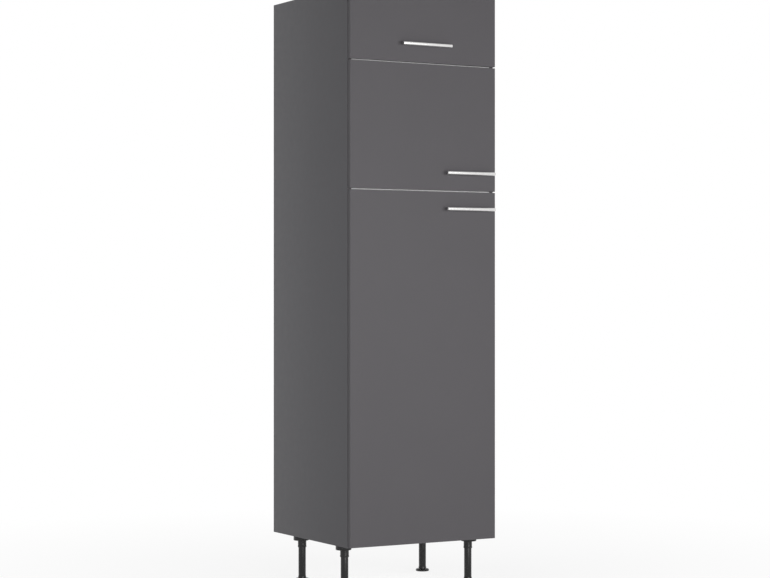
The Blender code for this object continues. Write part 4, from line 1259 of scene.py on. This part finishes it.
# Rows of radius, place along the axis, and rounding.
EYE_PROFILE = (
    (EYE_RADIUS, -EYE_HALF, 0.0012), (EYE_RADIUS, EYE_HALF, 0.0012), (0.0033, EYE_HALF, 0.0004),
    (0.0033, EYE_HALF - 0.0063, 0.0006),
)
STRUT_TUBE_PROFILE = (
    (0.0040, 0.0045, 0.0003), (0.0040, 0.0100, 0.0003), (0.0060, 0.0100, 0.0004), (0.0075, 0.0115, 0.0006),
    (0.0075, 0.0860, 0.0004), (0.0069, 0.0870, 0.0004), (0.0069, 0.0885, 0.0004), (0.0075, 0.0895, 0.0004),
    (0.0075, 0.0942, 0.0006), (0.0060, 0.0958, 0.0004), (0.0034, 0.0958, 0.0004), (0.0034, 0.0200, 0.0004),
)
ROD_START = 0.023
ROD_RADIUS = 0.003
ROD_COLLAR_RADIUS = 0.0042
ROD_COLLAR_LENGTH = 0.0060
SHAFT_TO_EYE = 0.0045

joint_axes = {joint["name"]: joint["axis"] for joint in frame["joints"]}
strut_foot = np.array(joint_places["strut_swing"])
strut_along = unit(np.array(joint_axes["strut_extend"], float))
strut_axes = ((1, 0, 0), np.cross(strut_along, (1, 0, 0)), strut_along)
strut_length = (strut_foot[1] - box_of("strut_rod")[0][1] - EYE_RADIUS) / -strut_along[1]
strut_head = strut_foot + strut_length * strut_along


def shaft_with_eye(name, profile, eye_centre, open_side):
    """A shaft turned round the strut's axis, with distances from its foot, joined to an eye."""
    shaft = mesh_of(name, set_in(lathe(profile, STRUT_SIDES), strut_foot, strut_axes))
    eye = set_in(lathe(EYE_PROFILE, STRUT_SIDES), eye_centre, towards_side(open_side))
    return combined(shaft, [mesh_of("eye", eye)], "UNION")


rod_end = strut_length - SHAFT_TO_EYE
rod_profile = (
    (ROD_RADIUS, ROD_START, 0.0005), (ROD_RADIUS, rod_end - ROD_COLLAR_LENGTH, 0.0003),
    (ROD_COLLAR_RADIUS, rod_end - ROD_COLLAR_LENGTH, 0.0004), (ROD_COLLAR_RADIUS, rod_end, 0.0002),
)
tube = shaft_with_eye("strut_cylinder", STRUT_TUBE_PROFILE, strut_foot, 1)
rod = shaft_with_eye("strut_rod", rod_profile, strut_head, -1)
piece("strut_cylinder_tube", tube, strut_paint, "strut_cylinder", ["strut_cylinder"])
piece("strut_rod_shaft", rod, plated_steel, "strut_rod", ["strut_rod"])
print("strut length between its eyes:", round(strut_length * 1000, 2), "mm")

# %% [markdown]
# Both brackets are stamped plates with a turned stud. The one on the flap carries its stud on a lug
# that stands off from the plate. A plate here is an outline with round corners and rolled rims.

# %% Strut brackets
BRACKET_CORNER = 0.004
BRACKET_ROUNDING = 0.0006
SIDE_PLATE = oblong(-0.014, -0.026, 0.014, 0.011)
SIDE_PLATE_LEVELS = (0.0152, 0.0177)
SIDE_STUD = (
    (0.003, -0.001, 0.001), (0.003, 0.0053, 0.0003), (0.005, 0.0053, 0.0008), (0.005, 0.0165, 0.0002),
)
FLAP_PLATE = oblong(-0.0323, -0.014, -0.0053, 0.014)
FLAP_PLATE_LEVELS = (-0.0137, -0.0112)
LUG_OUTLINE = oblong(-0.0125, -0.0055, 0.0055, 0.0055)
LUG_RADII = (0.0010, 0.0054, 0.0054, 0.0010)
LUG_LEVELS = (-0.0183, -0.0093)
LUG_ROUNDING = 0.0008
FLAP_STUD = ((0.003, 0.0053, 0.0008), (0.003, 0.0138, 0.0002))
BRACKET_SCREWS = (-0.0085, 0.0085)
BRACKET_SCREW = (0.0036, 0.0009)
SIDE_SCREW_DROP = -0.0195
FLAP_SCREW_X = -0.0262


def bracket(name, corners, levels, origin, axes, stud, stud_side, extras=()):
    """A stamped rectangle with round corners, joined to a stud turned along X and to any extras."""
    base = plate(rounded(corners, BRACKET_CORNER, PLATE_CORNER_STEPS), *levels, BRACKET_ROUNDING)
    turned_stud = mesh_of("stud", set_in(lathe(stud, STRUT_SIDES), origin, towards_side(stud_side)))
    return combined(mesh_of(name, set_in(base, origin, axes)), [*extras, turned_stud], "UNION")


side_bracket = bracket(
    "strut_side_bracket", SIDE_PLATE, SIDE_PLATE_LEVELS, strut_foot, towards_side(), SIDE_STUD, 1
)
lug = plate(rounded(LUG_OUTLINE, LUG_RADII, WIDE_ARC_STEPS), *LUG_LEVELS, LUG_ROUNDING)
lug = mesh_of("lug", set_in(lug, strut_head, towards_side()))
flap_bracket = bracket(
    "strut_flap_bracket", FLAP_PLATE, FLAP_PLATE_LEVELS, strut_head, FLAT_BEHIND, FLAP_STUD, -1, [lug]
)
for name, mesh, body in (
    ("strut_side_bracket", side_bracket, "carcass"),
    ("strut_flap_bracket", flap_bracket, "flap"),
):
    piece(name + "_metal", mesh, plated_steel, body, [name])
for along in BRACKET_SCREWS:
    on_side = strut_foot + (SIDE_PLATE_LEVELS[0], along, SIDE_SCREW_DROP)
    add_screw("carcass", on_side, towards_side(-1), BRACKET_SCREW)
    on_flap = strut_head + (FLAP_SCREW_X, FLAP_PLATE_LEVELS[1], along)
    add_screw("flap", on_flap, TOWARDS_BACK, BRACKET_SCREW)
print("strut brackets:", len(side_bracket.polygons), "and", len(flap_bracket.polygons), "faces")

# %% [markdown]
# ## Small fittings
# Four plated pins carry the loose shelf. A pin is one profile turned round X: a shank in the panel,
# and a thicker peg with a groove. Each handle is held by two screws from behind the front. All the
# screws on one body become one piece, since nobody takes a single one away.

# %% Shelf pins
PIN_SIDES = 32
PIN_PEG_LENGTH = 0.0086
# Rows of radius, distance from the inner end, and rounding, as far as the end of the peg.
PEG_PROFILE = (
    (0.003, 0, 0.0008), (0.003, PIN_PEG_LENGTH - 0.0022, 0.0002), (0.0025, PIN_PEG_LENGTH - 0.0018, 0.0002),
    (0.0025, PIN_PEG_LENGTH - 0.0012, 0.0002), (0.003, PIN_PEG_LENGTH - 0.0009, 0.0002),
    (0.003, PIN_PEG_LENGTH, 0.0002), (0.0023, PIN_PEG_LENGTH, 0.0001),
)
SHANK_RADIUS = 0.0023
SHANK_CHAMFER = 0.001
SHANK_TIP_RADIUS = 0.0016

pin_names = sorted(name for name in nodes if name.startswith("shelf_pin_"))
for name in pin_names:
    low, high, middle = box_of(name)
    outwards = 1 if low[0] > 0 else -1
    length = high[0] - low[0]
    middle[0] = low[0] if outwards > 0 else high[0]
    shank = [(SHANK_RADIUS, length - SHANK_CHAMFER, 0.0003), (SHANK_TIP_RADIUS, length, 0.0002)]
    pin = set_in(lathe([*PEG_PROFILE, *shank], PIN_SIDES), middle, towards_side(outwards))
    piece(name + "_peg", mesh_of(name, pin), plated_steel, "carcass", [name])
print("shelf pins turned:", len(pin_names))

# %% Screws behind the handles, and all screws as pieces
HANDLE_SCREW = (0.0042, 0.0018)

for front in FRONT_NAMES:
    middle = box_of(front + "_handle")[2]
    for side in (-1, 1):
        on_back = (middle[0] + side * HALF_POST_SPACING, box_of(front)[1][1], middle[2])
        add_screw(front, on_back, TOWARDS_BACK, HANDLE_SCREW)
for body, screws in fixing_screws.items():
    piece(body + "_screws", mesh_of("screws", joined(screws)), plated_steel, body)
    print(body, "screws:", len(screws))

# %% [markdown]
# Soft bumpers near the opening corners keep the fronts off the panels. Each is a dome of grey rubber,
# stuck to the back of a front. A flattened power curve gives its fuller shoulder, where a part of a
# sphere would look like a bead.

# %% Bumpers
BUMPER_RADIUS = 0.004
BUMPER_HEIGHT = 0.0016
BUMPER_SINK = -0.0002
BUMPER_SIDES = 28
BUMPER_RINGS = 9
BUMPER_TONE = (0.45, 0.45, 0.44)
BUMPER_X = 0.2905
BUMPER_FROM_END = 0.030
SMALLEST_SHARE = 0.02

bumper_plastic = moulded("bumper_plastic", BUMPER_TONE, (0.35, 0.45))


def bumper(place):
    """A dome of height h (1 - s^4) at s times its radius, standing on the back of a front."""
    share = np.linspace(0, 1, BUMPER_RINGS)[::-1]
    radius = np.maximum(share, SMALLEST_SHARE) * BUMPER_RADIUS
    dome = np.column_stack([radius, BUMPER_HEIGHT * (1 - share ** 4)])
    return set_in(turned(np.vstack([[BUMPER_RADIUS, BUMPER_SINK], dome]), BUMPER_SIDES), place, TOWARDS_BACK)


for front in FRONT_NAMES:
    low, high, _ = box_of(front)
    bottom = low[2] + BUMPER_FROM_END
    places = [(BUMPER_X, bottom), (BUMPER_X, high[2] - BUMPER_FROM_END)]
    if front == "flap":
        places = [(-BUMPER_X, bottom), (BUMPER_X, bottom)]
    domes = joined([bumper((x, high[1], z)) for x, z in places])
    piece(front + "_bumpers", mesh_of("bumpers", domes), bumper_plastic, front)
    print(front, "bumpers:", len(places))

# %% [markdown]
# Plastic caps hide the cam fittings that draw each fixed board to the sides. A cap is a thin disc
# under the board, with a notch to pry it off. It is a height field like the screw heads, so the notch
# is a dent in the same surface and needs no cutting.

# %% Caps over the cam fittings
TOWARDS_FLOOR = ((1, 0, 0), (0, -1, 0), (0, 0, -1))
CAP_SIDES = 36
CAP_RADIUS = 0.0085
CAP_HEIGHT = 0.0008
CAP_SINK = -0.0002
CAP_NOTCH_WIDTH = 0.0012
CAP_NOTCH_DEPTH = 0.6
CAP_NOTCH_START = 0.5
CAP_NOTCH_RUN = 0.3
CAP_FLAT_RINGS = 7
CAP_FLAT_SHARE = 0.8
CAP_RIM_SHARES = (0.86, 0.91, 0.95, 0.98, 1.0)
CAP_FROM_END = 0.034
CAP_FROM_EDGE = 0.050
CAPPED_BOARDS = ("bottom_panel", "niche_shelf", "flap_shelf", "top_panel")
CAP_TONE = (0.70, 0.70, 0.68)

cap_plastic = moulded("cap_plastic", CAP_TONE, (0.35, 0.45))


def cap(place):
    """A thin disc under a board: at s times its radius it is h (1 - s^8) thick, with a pried notch
    as a dent near its rim."""
    share = np.append(np.linspace(0, CAP_FLAT_SHARE, CAP_FLAT_RINGS), CAP_RIM_SHARES)[::-1][:, None]
    angle = angles_round(CAP_SIDES)
    radius = np.maximum(share, SMALLEST_SHARE) * CAP_RADIUS
    x = radius * np.cos(angle)
    y = radius * np.sin(angle)
    in_width = eased((CAP_NOTCH_WIDTH - abs(y)) / CAP_NOTCH_WIDTH)
    dent = in_width * eased((x - CAP_NOTCH_START * CAP_RADIUS) / (CAP_NOTCH_RUN * CAP_RADIUS))
    rings = np.stack([x, y, CAP_HEIGHT * (1 - share ** 8) * (1 - CAP_NOTCH_DEPTH * dent)], axis=-1)
    rim = np.array(rings[:1])
    rim[..., 2] = CAP_SINK
    return set_in(skin(np.concatenate([rim, rings])), place, TOWARDS_FLOOR)


for board in CAPPED_BOARDS:
    low, high, _ = box_of(board)
    rows = (low[1] + CAP_FROM_EDGE, high[1] - CAP_FROM_EDGE)
    caps = [cap((x, y, low[2])) for x in (low[0] + CAP_FROM_END, high[0] - CAP_FROM_END) for y in rows]
    piece(board + "_caps", mesh_of("caps", joined(caps)), cap_plastic, "carcass")
    print(board, "caps:", len(caps))
